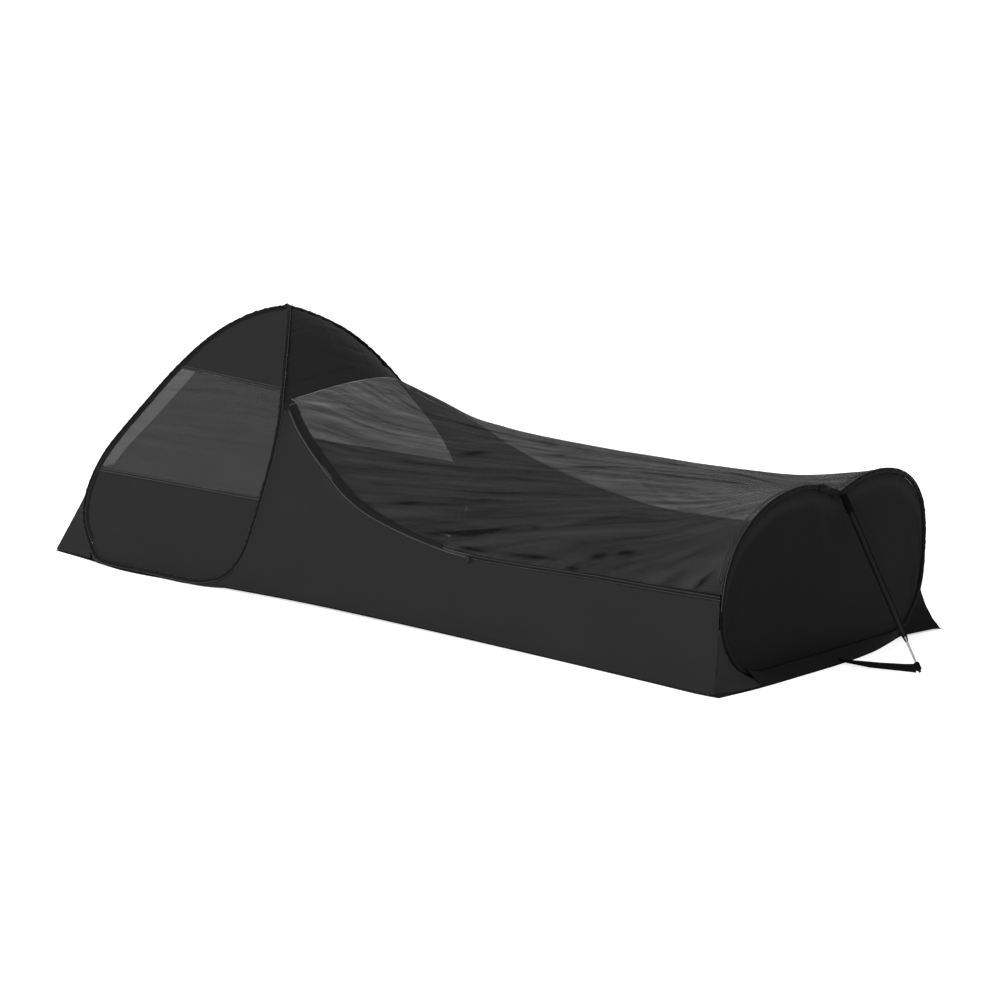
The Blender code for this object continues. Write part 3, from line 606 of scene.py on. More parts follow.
def puckers(grid, pitch, depth, reach, seed, edges):
    """Small gathers beside sewn edges: an uneven wave along the edge that dies away from it.
    edges names them: l and r for the first and last column, b and t for the first and last row."""
    s, t = spread(grid)
    far_s, far_t = s[:, -1:] - s, t[-1:] - t
    places = {"l": (s, t), "r": (far_s, t), "b": (t, s), "t": (far_t, s)}
    total = np.zeros(s.shape)
    for k, edge in enumerate(edges):
        away, beside = places[edge]
        total += depth * ripple(beside + 0.15 * away, pitch, seed + k) * np.exp(-away / reach)
    return total


def netting(name, grey, cover, pitch=NET_PITCH, streak=0.10, turn=None):
    """Black mosquito net: see-through between its threads. It is denser in thin streaks, which run along
    the panel or, where turn is given, straight over the tent at that angle from its length, and where its
    creases attribute says that it lies doubled; there its colour is darkened as painted shade, and between
    the streaks lightened as painted light. cover is how much one face of the net hides, on average."""
    made, shader, start = new_material(name)
    place = start.node("UVMap", {"uv_map": "cloth"})
    warp = start.node("SeparateXYZ", inputs={0: place})
    turns = math.pi / pitch
    first = start.math("SINE", warp * turns)
    second = start.math("SINE", warp.other(1) * turns)
    holes = first * first * second * second
    doubled_and_painted_shade = start.node("Attribute", {"attribute_name": "creases"}, output=2)
    streak_place = place if turn is None else start.node("TexCoord", output="Object")
    turned = start.node("VectorRotate", {"rotation_type": "Z_AXIS"},
                        {"Vector": streak_place, "Angle": -(turn or 0.0)})
    stretched = start.node("Mapping", inputs={"Vector": turned, "Scale": (2.4, 60.0, 0.0)})
    folds = start.node("TexNoise", inputs={"Vector": stretched, "Scale": 1.0, "Detail": 3.0,
                                           "Roughness": 0.65})
    clouds = start.node("TexNoise", inputs={"Vector": place, "Scale": 4.0, "Detail": 2.0})
    density = (folds - 0.5) * streak * 2 + (clouds - 0.5) * 0.10 + doubled_and_painted_shade * 0.26
    alpha = start.node("Clamp", inputs={"Value": (0.25 - holes) * 0.015 + density + cover})
    # painted light and shade: the colour darkens where the net is denser or doubled, and lightens between
    # the streaks
    tone = start.node("Clamp", inputs={"Value": 0.5 - (folds - 0.5) * streak * 6.0 - doubled_and_painted_shade * 0.8})
    colour = tone.blend(shade(grey * 0.2), shade(grey * 1.8))
    fill(start, shader, {"Base Color": colour, "Alpha": alpha, "Roughness": clouds * 0.1 + 0.65,
                         "Specular IOR Level": 0.03})
    return made


def tape(name, line, normal, width, look, lift=0.0009, thickness=0.0006):
    """A flat band sewn along a line on a surface, its middle raised a little above its edges."""
    side = unit(np.cross(unit(np.gradient(line, axis=0)), normal))
    share = np.linspace(-1.0, 1.0, 7)[:, None, None]
    grid = line[None] + side[None] * share * width / 2 + normal[None] * (lift - 0.0003 * share**2)
    return fasten(panel(name, grid, look, thickness), "trim")


def stitch_row(line, normal, offset):
    """Points and faces of a row of stitches along a line on a surface: each is a short six-sided
    bead that narrows at both ends, half sunk in the cloth. offset moves the row sideways."""
    tangent = unit(np.gradient(line, axis=0))
    line = line + offset * unit(np.cross(tangent, normal))
    count = max(2, int(travelled(line)[-1] / STITCH_PITCH))
    both = evenly(np.column_stack([line, normal]), count)
    middle, up = both[:, :3], unit(both[:, 3:])
    ahead = unit(np.gradient(middle, axis=0))
    side = np.cross(ahead, up)
    stations = np.array([-0.5, -0.3, 0.3, 0.5]) * STITCH_LENGTH
    sizes = np.array([0.35, 1.0, 1.0, 0.35]) * STITCH_RADIUS
    turn = np.linspace(0.0, 2 * math.pi, 6, endpoint=False)
    spots = (middle[:, None, None] + stations[None, :, None, None] * ahead[:, None, None]
             + (sizes[:, None] * np.cos(turn))[None, ..., None] * side[:, None, None]
             + (sizes[:, None] * np.sin(turn))[None, ..., None] * up[:, None, None])
    bead = grid_faces(4, 6, around=True) + [[5, 4, 3, 2, 1, 0], [18, 19, 20, 21, 22, 23]]
    faces = [[24 * k + corner for corner in face] for k in range(count) for face in bead]
    return spots.reshape(-1, 3), faces


def stitching(name, line, normal, offsets, place=as_made):
    """Rows of stitches as one object, in the grey polyester thread that the whole tent is sewn with."""
    points, faces = np.zeros((0, 3)), []
    for offset in offsets:
        spots, corners = stitch_row(place(line), place(normal), offset)
        faces += [[len(points) + k for k in face] for face in corners]
        points = np.vstack([points, spots])
    made = add_mesh(name, points, faces, sewing_thread)
    turn_out(made)
    fasten(made, "trim")


def taped_seam(name, strip, place=as_made, ending=""):
    """A tape and two rows of stitches along the middle row of a narrow strip of a panel."""
    line, normal = strip[1], facing_out(strip)[1]
    tape(name + "_tape" + ending, place(line), place(normal), SEAM_TAPE, seam_cloth)
    stitching(name + "_stitches" + ending, line + normal * STITCH_RAISE, normal, STITCH_ROWS, place)


sewing_thread, thread_shader, start = new_material("sewing_thread")
twist = start.node("TexWave", {"bands_direction": "DIAGONAL"},
                   {"Vector": start.node("TexCoord", output="Object"), "Scale": 900.0, "Distortion": 1.0})
fill(start, thread_shader, {"Base Color": twist.blend(shade(THREAD_SHADE * 0.7), shade(THREAD_SHADE * 1.2)),
                            "Roughness": twist * 0.2 + 0.45, "Specular IOR Level": 0.3})
wall_cloth = woven("wall_taffeta", WALL_SHADE)
window_net = netting("window_net", NET_SHADE, NET_COVER)
far_window_net = netting("far_window_net", NET_SHADE, NET_COVER, streak=0.40)
seam_cloth = woven("seam_tape", WALL_SHADE, pitch=0.0012, patches=0.2)
hem_cloth = woven("hem_binding", HEM_SHADE, pitch=0.0012, patches=0.25)

inner = hoop_offset(-(HOOP_RADIUS + GAP))
head_seam = side_of(inner, False)
foot_seam = side_of(inner, True)
panel_bottom = inner[:, 2].min() + PANEL_CLEAR
panel_top = inner[:, 2].max() - PANEL_CLEAR


def side_rows(z, columns):
    """Rows across the side panel. Those near the window's head climb a little towards the head end."""
    rise = np.interp(z, [WINDOW_BOTTOM, WINDOW_TOP, panel_top], [0.0, HEAD_SEAM_RISE, 0.0])
    return between(at_height(head_seam, z + rise), at_height(foot_seam, z), columns)


# each part: bottom, top, rows and how they close up towards the bottom and the top, look and slot,
# gathered edges and how deep the gathers are
SIDE_PARTS = {"lower": (panel_bottom, WINDOW_BOTTOM, 56, 1.7, 1.0, wall_cloth, "wall_cloth", "lr", 0.0005),
              "window": (WINDOW_BOTTOM, WINDOW_TOP, 64, 1.0, 1.0, window_net, "mesh", "lrbt", 0.0007),
              "upper": (WINDOW_TOP, panel_top, 60, 1.0, 1.8, wall_cloth, "wall_cloth", "lr", 0.0005)}
for part, (low, high, rows, low_power, high_power, look, slot, edges, depth) in SIDE_PARTS.items():
    share = 1.0 - (1.0 - np.linspace(0.0, 1.0, rows) ** low_power) ** high_power
    smooth = side_rows(low + (high - low) * share, SIDE_COLUMNS)
    s, t = spread(smooth)
    folds = puckers(smooth, pitch=0.024, depth=depth, reach=0.016, seed=20 + rows, edges=edges)
    folds += rucks(s, t, seed=30 + rows, count=10, length=0.15, width=0.03, depth=0.0012, lean=0.3,
                   spread_lean=0.7)
    for side, place in SIDES:
        if part == "window" and side == "far":
            look = far_window_net
            folds = folds + rucks(s, t, seed=37, count=14, length=0.22, width=0.007, depth=0.004, lean=-0.03,
                                  spread_lean=0.06)
        sew("head_panel_" + part + "_" + side, smooth, folds * fade_in(s[:, -1:], 0.10), look, slot,
            ["hoop_sleeve_" + side], "head_side_" + part + "_" + side, place=place)

for height, label in ((WINDOW_BOTTOM, "sill"), (WINDOW_TOP, "head")):
    strip = side_rows(np.linspace(height - SEAM_HALF, height + SEAM_HALF, 3), SEAM_COLUMNS)
    for side, place in SIDES:
        taped_seam("window_" + label, strip, place, "_" + side)

# a tape also runs up the head edge, where the side panel's seam meets the head end
head_edge = side_of(hoop_offset(-(HOOP_RADIUS + EDGE_TAPE_IN)), False)
head_edge = evenly(head_edge[head_edge[:, 2] > EDGE_TAPE_FROM], 500)
slope = unit(np.gradient(head_edge, axis=0))
edge_normal = unit(np.cross(slope, unit(np.cross([[0.0, -1.0, 0.0]], slope))))
edge_normal *= np.sign(-edge_normal[:, 1:2])
for side, place in SIDES:
    tape("head_edge_tape_" + side, place(head_edge), place(edge_normal), EDGE_TAPE, hem_cloth, lift=0.0016)

# Head wall and its gussets
# Between the two hoops the head end is closed by a wall of the same taffeta with a band of mesh
# across it, mostly covered by a cloth flap, and a triangular gusset runs out to each ground corner.
HEAD_HALF = 0.404
GUSSET_TOP = 0.200
UNDER_TUBE = 0.014
SKIRT_TUBE = 0.024
HEAD_WALL_SAG = 0.015
SAG_ABOVE_FLOOR = 0.15
SAG_TOP = 0.64
SAG_BELOW_TOP = 0.20
END_WINDOW_TOP = WINDOW_TOP + HEAD_SEAM_RISE
PANEL_TOP_HALF = 0.012
END_COLUMNS = 131
END_SEAM_COLUMNS = 121
# the cover's edges, as columns of the head wall: its near one at the foot and head, and its far one
COVER_FOOT = 8.0
COVER_HEAD = 24.0
COVER_FAR = 129.0
COVER_ROWS = 44
COVER_COLUMNS = 133
COVER_INSIDE = 0.0030
COVER_ABOVE_SILL = 0.006
COVER_BELOW_HEAD = 0.004
GUSSET_LAP = 0.0012
GUSSET_SHORT = 0.004
BASE_Z = FLOOR_TOP + 0.0009


def edge_towards_middle(foot_side):
    """Seam line on the hoop's inner flank, where a panel leaves for the far hoop."""
    loop = hoop_line()
    tangent = loop_tangents(loop)
    across = unit(np.array([0.0, 1.0, 0.0]) - tangent[:, 1:2] * tangent)
    return side_of(loop + (HOOP_RADIUS + GAP) * across, foot_side)


def highest(seam):
    """The height at which a seam on the hoop comes within reach of the tent's middle."""
    return np.interp(PANEL_TOP_HALF * 0.6, -seam[::-1, 1], seam[::-1, 2])


def head_wall_edge(z):
    """Near edge of the head wall: down the hoop, then straight out to the ground corner."""
    seam = edge_towards_middle(False)
    joint = at_height(seam, np.array([GUSSET_TOP]))[0]
    corner_point = np.array([HEAD_X, -HEAD_HALF, BASE_Z])
    share = np.clip((GUSSET_TOP - z) / (GUSSET_TOP - BASE_Z), 0.0, 1.0)[:, None]
    return np.where(share > 0.0, joint * (1 - share) + corner_point * share, at_height(seam, z))


def head_wall_grid(low, high, rows, columns):
    """Rows across the head end, which sags inwards as a parabola between its edges."""
    z = np.linspace(low, high, rows)
    near = head_wall_edge(z)
    grid = between(near, mirrored(near), columns)
    share = np.linspace(-1.0, 1.0, columns)[None, :]
    depth = HEAD_WALL_SAG * fade_in(z - BASE_Z, SAG_ABOVE_FLOOR) * fade_in(SAG_TOP - z, SAG_BELOW_TOP)
    grid[..., 0] += depth[:, None] * (1 - share**2)
    return grid


def along_rows(grid, where):
    """Points of a grid at fractional column numbers, one row of numbers for each of its rows."""
    low = np.clip(np.floor(where).astype(int), 0, grid.shape[1] - 2)
    rest = (where - low)[..., None]
    row = np.arange(len(grid))[:, None]
    return grid[row, low] * (1 - rest) + grid[row, low + 1] * rest


END_PARTS = {"lower": (BASE_Z, WINDOW_BOTTOM, 50, wall_cloth, "wall_cloth"),
             "window": (WINDOW_BOTTOM, END_WINDOW_TOP, 50, window_net, "mesh"),
             "upper": (END_WINDOW_TOP, highest(edge_towards_middle(False)), 44, wall_cloth, "wall_cloth")}
for part, (low, high, rows, look, slot) in END_PARTS.items():
    smooth = head_wall_grid(low, high, rows, END_COLUMNS)
    s, t = spread(smooth)
    folds = puckers(smooth, pitch=0.028, depth=0.0008, reach=0.02, seed=50 + rows, edges="lr")
    folds += rucks(s, t, seed=60 + rows, count=16, length=0.2, width=0.03, depth=0.0016, spread_lean=0.5)
    if part == "lower":
        folds *= fade_in(t, 0.03)
    sew("head_end_" + part, smooth, folds, look, slot, ["hoop_sleeve_near", "hoop_sleeve_far"],
        "head_wall_" + part)

for height, label in ((WINDOW_BOTTOM, "sill"), (END_WINDOW_TOP, "head")):
    strip = head_wall_grid(height - SEAM_HALF, height + SEAM_HALF, 3, END_SEAM_COLUMNS)
    taped_seam("head_end_" + label, strip)

cover_flat = head_wall_grid(WINDOW_BOTTOM + COVER_ABOVE_SILL, END_WINDOW_TOP - COVER_BELOW_HEAD,
                            COVER_ROWS, COVER_COLUMNS)
cover_near = np.linspace(COVER_FOOT, COVER_HEAD, COVER_ROWS)[:, None]
cover_share = np.linspace(0.0, 1.0, 110)[None, :]
cover_flat = along_rows(cover_flat, cover_near + (COVER_FAR - cover_near) * cover_share)
cover_flat = cover_flat + np.array([COVER_INSIDE, 0.0, 0.0])
s, t = spread(cover_flat)
folds = puckers(cover_flat, pitch=0.03, depth=0.0009, reach=0.02, seed=71, edges="lr")
folds += rucks(s, t, seed=72, count=12, length=0.12, width=0.02, depth=0.0015, lean=1.4, spread_lean=0.4)
sew("window_cover", cover_flat, -0.001 - np.abs(folds), wall_cloth, "wall_cloth", ["head_end_upper"],
    "head_wall_flap", held="hung")


def beside(half, z, tube_top=UNDER_TUBE):
    """Like at_height, but a panel's lowest stretch stays out from under the tube."""
    points = at_height(half, np.maximum(z, tube_top))
    points[:, 2] = z
    return points


outer_head = side_of(hoop_offset(HOOP_RADIUS + GAP), False)
z = np.linspace(BASE_Z, GUSSET_TOP - GUSSET_SHORT, 60)
gusset_seam = head_wall_edge(z) + np.array([GUSSET_LAP, 0.0, 0.0])
smooth = between(gusset_seam, beside(outer_head, z, SKIRT_TUBE), 40)
folds = puckers(smooth, pitch=0.02, depth=0.0008, reach=0.012, seed=81, edges="lr")
folds *= fade_in(spread(smooth)[1], 0.02)
for side, place in SIDES:
    sew("head_corner_" + side, smooth, folds, wall_cloth, "wall_cloth",
        ["hoop_sleeve_" + side, "head_end_lower"], "head_gusset_" + side, place=place)

# Side walls
# A long wall of taffeta runs from each head hoop to the foot ring. It is sewn to the groundsheet
# below, sweeps down from the roof's hem and carries the canopy's zip along its top edge.
CLEAR = 0.0011
HEM_HEIGHT = 0.436
ZIP_WIDTH = 0.009
ZIP_BELOW_HEM = 0.004
ZIP_LINE = [(-0.401, 0.222, 0.416), (-0.334, 0.256, 0.380), (-0.262, 0.284, 0.342), (-0.180, 0.307, 0.297),
            (-0.100, 0.328, 0.259), (0.007, 0.346, 0.225), (0.160, 0.355, 0.195), (0.300, 0.358, 0.178),
            (0.450, 0.360, 0.177), (0.700, 0.363, 0.184), (0.900, 0.365, 0.187), (1.062, 0.368, 0.191)]
RING_RADIUS = 0.006
RING_X = 1.067
RING_WAIST = 0.090
RING_BOW = 0.031
FOOT_GUSSET_TOP = 0.130
CORNER_TOP_HALF = 0.366
CORNER_CURVE = 2.1
CORNER_SHORT = 0.012
CORNER_INSIDE = 0.004
WALL_CLEAR = 0.0006
WALL_COLUMNS = 321
WALL_ROWS = 81
WALL_ENDS = 9
UP = np.array([0.0, 0.0, 1.0])
SEAM_CORD = 0.0016
SEAM_HEIGHT = 0.0019
STRIP_TOP = 0.030
STRIP_SHORT = 0.0030
STRIP_BASE = 0.0006


def ring_x(z):
    """How far along the tent the foot ring stands at height z: it bows as a parabola."""
    return RING_X + RING_BOW * ((z - RING_WAIST) / 0.31) ** 2


def zip_curve(count):
    """Top edge of the near wall, from the hoop to the foot ring."""
    outer = side_of(hoop_offset(HOOP_RADIUS + CLEAR), True)
    start_point = at_height(outer, np.array([HEM_HEIGHT - ZIP_WIDTH - ZIP_BELOW_HEM]))[0]
    line = mirrored(np.array(ZIP_LINE))
    line[-1, 0] = ring_x(line[-1, 2]) - RING_RADIUS - CLEAR
    return smooth_line(np.vstack([start_point, line]), False, count)


def foot_corner_line(z):
    """The near wall's foot end: down beside the ring, then in a hollow curve out to the corner."""
    top = zip_curve(5)[-1]
    fall = np.clip((top[2] - z) / (top[2] - FOOT_GUSSET_TOP), 0.0, 1.0)
    out_share = np.clip((FOOT_GUSSET_TOP - z) / (FOOT_GUSSET_TOP - BASE_Z), 0.0, 1.0) ** CORNER_CURVE
    x = ring_x(np.maximum(z, FOOT_GUSSET_TOP)) - RING_RADIUS - CLEAR
    x = x + (FOOT_X - CORNER_SHORT - x) * out_share
    y = top[1] + (-CORNER_TOP_HALF - top[1]) * fall
    y = y + (-CORNER_HALF + CORNER_INSIDE + CORNER_TOP_HALF) * out_share
    return np.column_stack([x, y, z])


def coons(bottom, top, left, right):
    """The surface that fills four edges: each pair is joined by straight rows, the two sheets are
    added, and the flat sheet through the four corners is taken off."""
    u = np.linspace(0.0, 1.0, len(bottom))[None, :, None]
    v = np.linspace(0.0, 1.0, len(left))[:, None, None]
    ruled = (1 - v) * bottom[None] + v * top[None] + (1 - u) * left[:, None] + u * right[:, None]
    corners = ((1 - u) * (1 - v) * bottom[0] + u * (1 - v) * bottom[-1]
               + (1 - u) * v * top[0] + u * v * top[-1])
    return ruled - corners


outer_foot = side_of(hoop_offset(HOOP_RADIUS + WALL_CLEAR), True)
top = zip_curve(WALL_COLUMNS)
rise = np.linspace(0.0, 1.0, WALL_ROWS)
left = beside(outer_foot, BASE_Z + (top[0, 2] - BASE_Z) * rise)
under = np.clip((UNDER_TUBE - left[:, 2]) / (UNDER_TUBE - BASE_Z), 0.0, 1.0)
left[:, 1] -= under * (ground_half(left[0, 0]) + left[0, 1])
right = foot_corner_line(BASE_Z + (top[-1, 2] - BASE_Z) * rise)
x = np.linspace(left[0, 0], right[0, 0], WALL_COLUMNS)
bottom = np.column_stack([x, -ground_half(x), np.full(WALL_COLUMNS, BASE_Z)])
share = np.linspace(0.0, 1.0, WALL_COLUMNS)[:, None]
bottom = (bottom + (left[0] - bottom[0]) * (1 - share) ** WALL_ENDS
          + (right[0] - bottom[-1]) * share**WALL_ENDS)
smooth = coons(bottom, top, left, right)
s, t = spread(smooth)
folds = puckers(smooth, pitch=0.035, depth=0.0007, reach=0.022, seed=91, edges="tb")
folds += puckers(smooth, pitch=0.03, depth=0.0008, reach=0.03, seed=95, edges="lr")
folds += rucks(s, t, seed=97, count=26, length=0.35, width=0.04, depth=0.0022, lean=0.05, spread_lean=0.25)
folds *= fade_in(t, 0.012)
for side, place in SIDES:
    sew("long_wall_" + side, smooth, folds, wall_cloth, "wall_cloth", ["hoop_sleeve_" + side, "groundsheet"],
        "side_wall_" + side, place=place)

seam_line = np.column_stack([bottom[2:-2, :2], np.full(WALL_COLUMNS - 4, SEAM_HEIGHT)])
for side, place in SIDES:
    cord("ground_seam_" + side, seam_line, UP, SEAM_CORD, wall_cloth, "wall_cloth", place=place)

# below each hoop a strip of the same cloth closes the gap between the tube and the sheet
hoop_low = hoop_line(1440)
hoop_low = hoop_low[hoop_low[:, 2] < STRIP_TOP]
hoop_low = hoop_low[np.argsort(hoop_low[:, 0])]
half_high = (hoop_low[:, 2] - STRIP_SHORT) / 2
strip_line = np.column_stack([hoop_low[:, :2], half_high + STRIP_BASE])
strip_side = np.cross(unit(np.gradient(strip_line, axis=0)), UP)
strip_size = np.column_stack([np.ones(len(half_high)), half_high])
strip_profile = round_profile(SEAM_CORD, 1.0, 10)[None] * strip_size[:, None]
for side, place in SIDES:
    strip = swept("hoop_ground_strip_" + side, place(strip_line), place(strip_side), UP, strip_profile,
                  wall_cloth)
    fasten(strip, "wall_cloth")

# Roof
# A short roof of thinner black cloth spans the two hoops on the foot side of the apex. Its free
# front edge is a broad arched hem, edged with a fine dark cord above and below.
ROOF_FORWARD = 0.095
ROOF_RISE = 0.046
HEM_DEEP = 0.034
HEM_PROUD = 0.0016
HEM_THICK = 0.0012
HEM_CORD = 0.0007
ROOF_SHADE = 0.0110
DARK_CORD_SHADE = 0.0025


def roof_grid(z, columns):
    """Rows of the roof from hoop to hoop at heights z, arched towards the foot and up."""
    near = at_height(edge_towards_middle(True), z)
    grid = between(near, mirrored(near), columns)
    share = np.linspace(-1.0, 1.0, columns)[None, :]
    grow = np.clip((HOOP_TOP - z) / (HOOP_TOP - HEM_HEIGHT), 0.0, 1.0)[:, None]
    grid[..., 0] += ROOF_FORWARD * grow * (1 - share**2)
    grid[..., 2] += ROOF_RISE * grow * (1 - share**2)
    return grid


roof_cloth = woven("roof_taffeta", ROOF_SHADE)
dark_cord = woven("dark_cord", DARK_CORD_SHADE, pitch=0.0014, patches=0.3, rough=0.7, gloss=0.03)
roof_top = highest(edge_towards_middle(True))
smooth = roof_grid(np.linspace(roof_top, HEM_HEIGHT + 0.004, 110), 181)
s, t = spread(smooth)
folds = rucks(s, t, seed=104, count=60, length=0.08, width=0.008, depth=0.0024, lean=0.9, spread_lean=0.7)
folds *= fade_in(s[:, -1:], 0.15)
folds += puckers(smooth, pitch=0.022, depth=0.0012, reach=0.030, seed=101, edges="lr")
sew("roof_cloth", smooth, folds, roof_cloth, "roof_cloth", ["hoop_sleeve_near", "hoop_sleeve_far"],
    "roof_panel")

hem = roof_grid(np.linspace(HEM_HEIGHT + HEM_DEEP, HEM_HEIGHT, 26), 161)
folds = puckers(hem, pitch=0.013, depth=0.0008, reach=0.020, seed=107, edges="lrt")
sew("roof_hem_band", hem, HEM_PROUD + folds, roof_cloth, "trim", ["roof_cloth"], "roof_hem",
    thickness=HEM_THICK)
for row, label in ((0, "top"), (-1, "edge")):
    up = facing_out(hem)[row]
    cord("roof_hem_" + label, hem[row] + up * HEM_PROUD, up, HEM_CORD, dark_cord, "trim")

# Mesh canopy
# One saddle of black mosquito net is stretched from the roof's hem over both walls to the foot
# ring, and hangs in long shallow folds along the tent.
RIDGE_LINE = [(-0.345, 0.478), (-0.250, 0.442), (-0.169, 0.421), (-0.118, 0.412), (-0.067, 0.407),
              (-0.017, 0.403), (0.033, 0.398), (0.098, 0.394), (0.163, 0.391), (0.290, 0.387),
              (0.414, 0.384), (0.600, 0.381), (0.825, 0.382), (0.935, 0.384), (1.075, 0.388)]
RING_OUTLINE = [(0.000, 0.0092), (0.150, 0.0092), (0.245, 0.0100), (0.292, 0.025), (0.332, 0.064),
                (0.357, 0.110), (0.364, 0.155), (0.363, 0.205), (0.355, 0.255), (0.332, 0.311),
                (0.287, 0.359), (0.225, 0.391), (0.150, 0.404), (0.085, 0.399), (0.035, 0.384),
                (0.000, 0.372)]
CANOPY_ENDS = 0.20
CANOPY_CORNERS = 8
NET_ABOVE_ZIP = 0.0018
NET_PAST_HEM = np.array([0.0006, 0.0, -0.0002])
NET_THICK = 0.0006
CANOPY_ROWS = 149
CANOPY_COLUMNS = 325
CANOPY_NET_SHADE = 0.031
CANOPY_COVER = 0.605
CREASE_RISE = 0.003
NET_TURN = 0.30
STREAK_TURN = 0.13
RIDGE_CREASE = 0.6
RIDGE_CREASE_HALF = 0.006
# Where the net lies doubled in a crease, its colour darkened as painted shade: x, distance from the near
# edge, half length, half width, turn towards the far side, and how strongly it shows; a negative one is
# thinner net, painted lighter
CREASES = [(0.33, 0.052, 0.095, 0.0075, 0.26, 1.0), (0.345, 0.012, 0.080, 0.0035, 0.05, 0.8),
           (0.525, 0.018, 0.050, 0.0060, 0.05, 0.8), (0.493, 0.091, 0.012, 0.0045, 0.1, 0.5),
           (0.643, 0.068, 0.028, 0.0045, 0.15, 0.35), (0.714, 0.042, 0.020, 0.0065, 0.3, 0.8),
           (0.782, 0.059, 0.017, 0.0045, 0.2, 1.0), (0.648, 0.006, 0.016, 0.0045, 0.0, 0.7),
           (0.150, 0.272, 0.030, 0.0090, 0.58, 0.8), (0.10, 0.062, 0.025, 0.0040, 0.38, 0.6),
           (0.31, 0.137, 0.030, 0.0045, 0.25, 0.3), (0.06, 0.174, 0.075, 0.0040, 0.33, 0.35),
           (0.35, 0.176, 0.16, 0.0035, 0.25, 0.35), (0.515, 0.131, 0.26, 0.0035, 0.21, 0.4),
           (0.67, 0.140, 0.08, 0.0050, 0.39, 0.4), (0.358, 0.368, 0.025, 0.0075, 0.45, 0.5),
           (0.495, 0.336, 0.065, 0.0090, 0.37, 0.6), (0.745, 0.358, 0.14, 0.0065, 0.09, 0.9),
           (0.71, 0.268, 0.08, 0.0035, -0.50, 0.4), (1.01, 0.022, 0.032, 0.0075, 0.72, 0.7),
           (0.916, 0.039, 0.020, 0.0060, 0.39, 0.4), (0.916, 0.142, 0.17, 0.0018, -0.23, -0.5),
           (0.927, 0.157, 0.16, 0.0018, -0.24, -0.5)]


def ring_line(count=FINE_LOOP):
    """The foot ring: a smooth closed curve through its half outline and the mirrored half, bowed by
    ring_x."""
    half = np.array(RING_OUTLINE)
    other = half[-2:0:-1] * np.array([-1.0, 1.0])
    flat = smooth_line(np.vstack([half, other]), True, count)
    return np.column_stack([ring_x(flat[:, 1]), flat[:, 0], flat[:, 1]])


def canopy_grid(rows, columns):
    """The net from side to side and from the roof's hem to the ring: it fills its four edges at both
    ends, and between them each section is a parabola from the wall tops up to the ridge line."""
    hem_edge = roof_grid(np.array([HEM_HEIGHT - GAP]), rows)[0] + NET_PAST_HEM
    ring = ring_line()
    near = zip_curve(columns) + UP * (2 * GAP + ZIP_WIDTH + NET_ABOVE_ZIP)
    upper = ring[ring[:, 2] >= near[-1, 2]]
    upper = upper[np.argsort(np.arctan2(upper[:, 2] - 0.1, -upper[:, 1]))]
    foot = evenly(upper, rows)
    foot[:, 0] -= RING_RADIUS + GAP
    u = np.linspace(0.0, 1.0, columns)[:, None]
    near = (near + (hem_edge[0] - near[0]) * (1 - u) ** CANOPY_CORNERS
            + (foot[0] - near[-1]) * u**CANOPY_CORNERS)
    grid = coons(near, mirrored(near), hem_edge, foot)
    share = np.linspace(-1.0, 1.0, rows)[:, None]
    ridge = smooth_line(RIDGE_LINE, False, 300)
    middle = np.interp(grid[rows // 2, :, 0], ridge[:, 0], ridge[:, 1])
    arch = grid[0, :, 2] + (middle - grid[0, :, 2]) * (1 - share**2)
    blend = fade_in(np.minimum(u[:, 0], 1 - u[:, 0]), CANOPY_ENDS)
    grid[..., 2] += (3 * blend**2 - 2 * blend**3) * (arch - grid[..., 2])
    return grid


def creased(x, t):
    """How strongly the net is doubled at a place, which also darkens its colour as painted shade: each
    crease is a bell along and across itself.
    """
    total = np.zeros(x.shape)
    for middle_x, middle_t, long, wide, turn, strength in CREASES:
        forward = (x - middle_x) * math.cos(turn) + (t - middle_t) * math.sin(turn)
        sideways = (t - middle_t) * math.cos(turn) - (x - middle_x) * math.sin(turn)
        total += strength * np.exp(-(forward / long / 1.15) ** 2 - (sideways / wide / 0.85) ** 2)
    return total


canopy_net = netting("canopy_net", CANOPY_NET_SHADE, CANOPY_COVER, streak=0.30, turn=STREAK_TURN)
smooth = canopy_grid(CANOPY_ROWS, CANOPY_COLUMNS)
s, t = spread(smooth)
doubled_and_painted_shade = creased(smooth[..., 0], t)
past_hem = fade_in(s - 0.05, 0.05) * fade_in(s[:, -1:] - s - 0.10, 0.05)
# a doubled crease along the ridge, darkened as painted shade like the others
doubled_and_painted_shade += RIDGE_CREASE * np.exp(-(smooth[..., 1] / RIDGE_CREASE_HALF) ** 2) * past_hem
folds = rucks(s, t, seed=121, count=120, length=0.20, width=0.010, depth=0.0030, lean=NET_TURN,
              spread_lean=0.12)
folds += puckers(smooth, pitch=0.02, depth=0.0010, reach=0.02, seed=125, edges="lrbt")
folds += CREASE_RISE * doubled_and_painted_shade
folds *= fade_in(np.minimum.reduce([s, s[:, -1:] - s, t, t[-1:] - t]), 0.03)
net = sew("net_canopy", smooth, folds, canopy_net, "mesh",
          ["roof_hem_band", "long_wall_near", "long_wall_far"], "mesh_canopy", thickness=NET_THICK)
net.data.attributes.new("creases", "FLOAT", "POINT").data.foreach_set("value", doubled_and_painted_shade.ravel())

for column, label in ((-3, "outer"), (-4, "inner")):
    cord("net_foot_seam_" + label, smooth[4:-4, column], facing_out(smooth)[4:-4, column], PIPING_RADIUS,
         piping_cloth_painted_glint, "trim", lift=0.0012, sides=6)

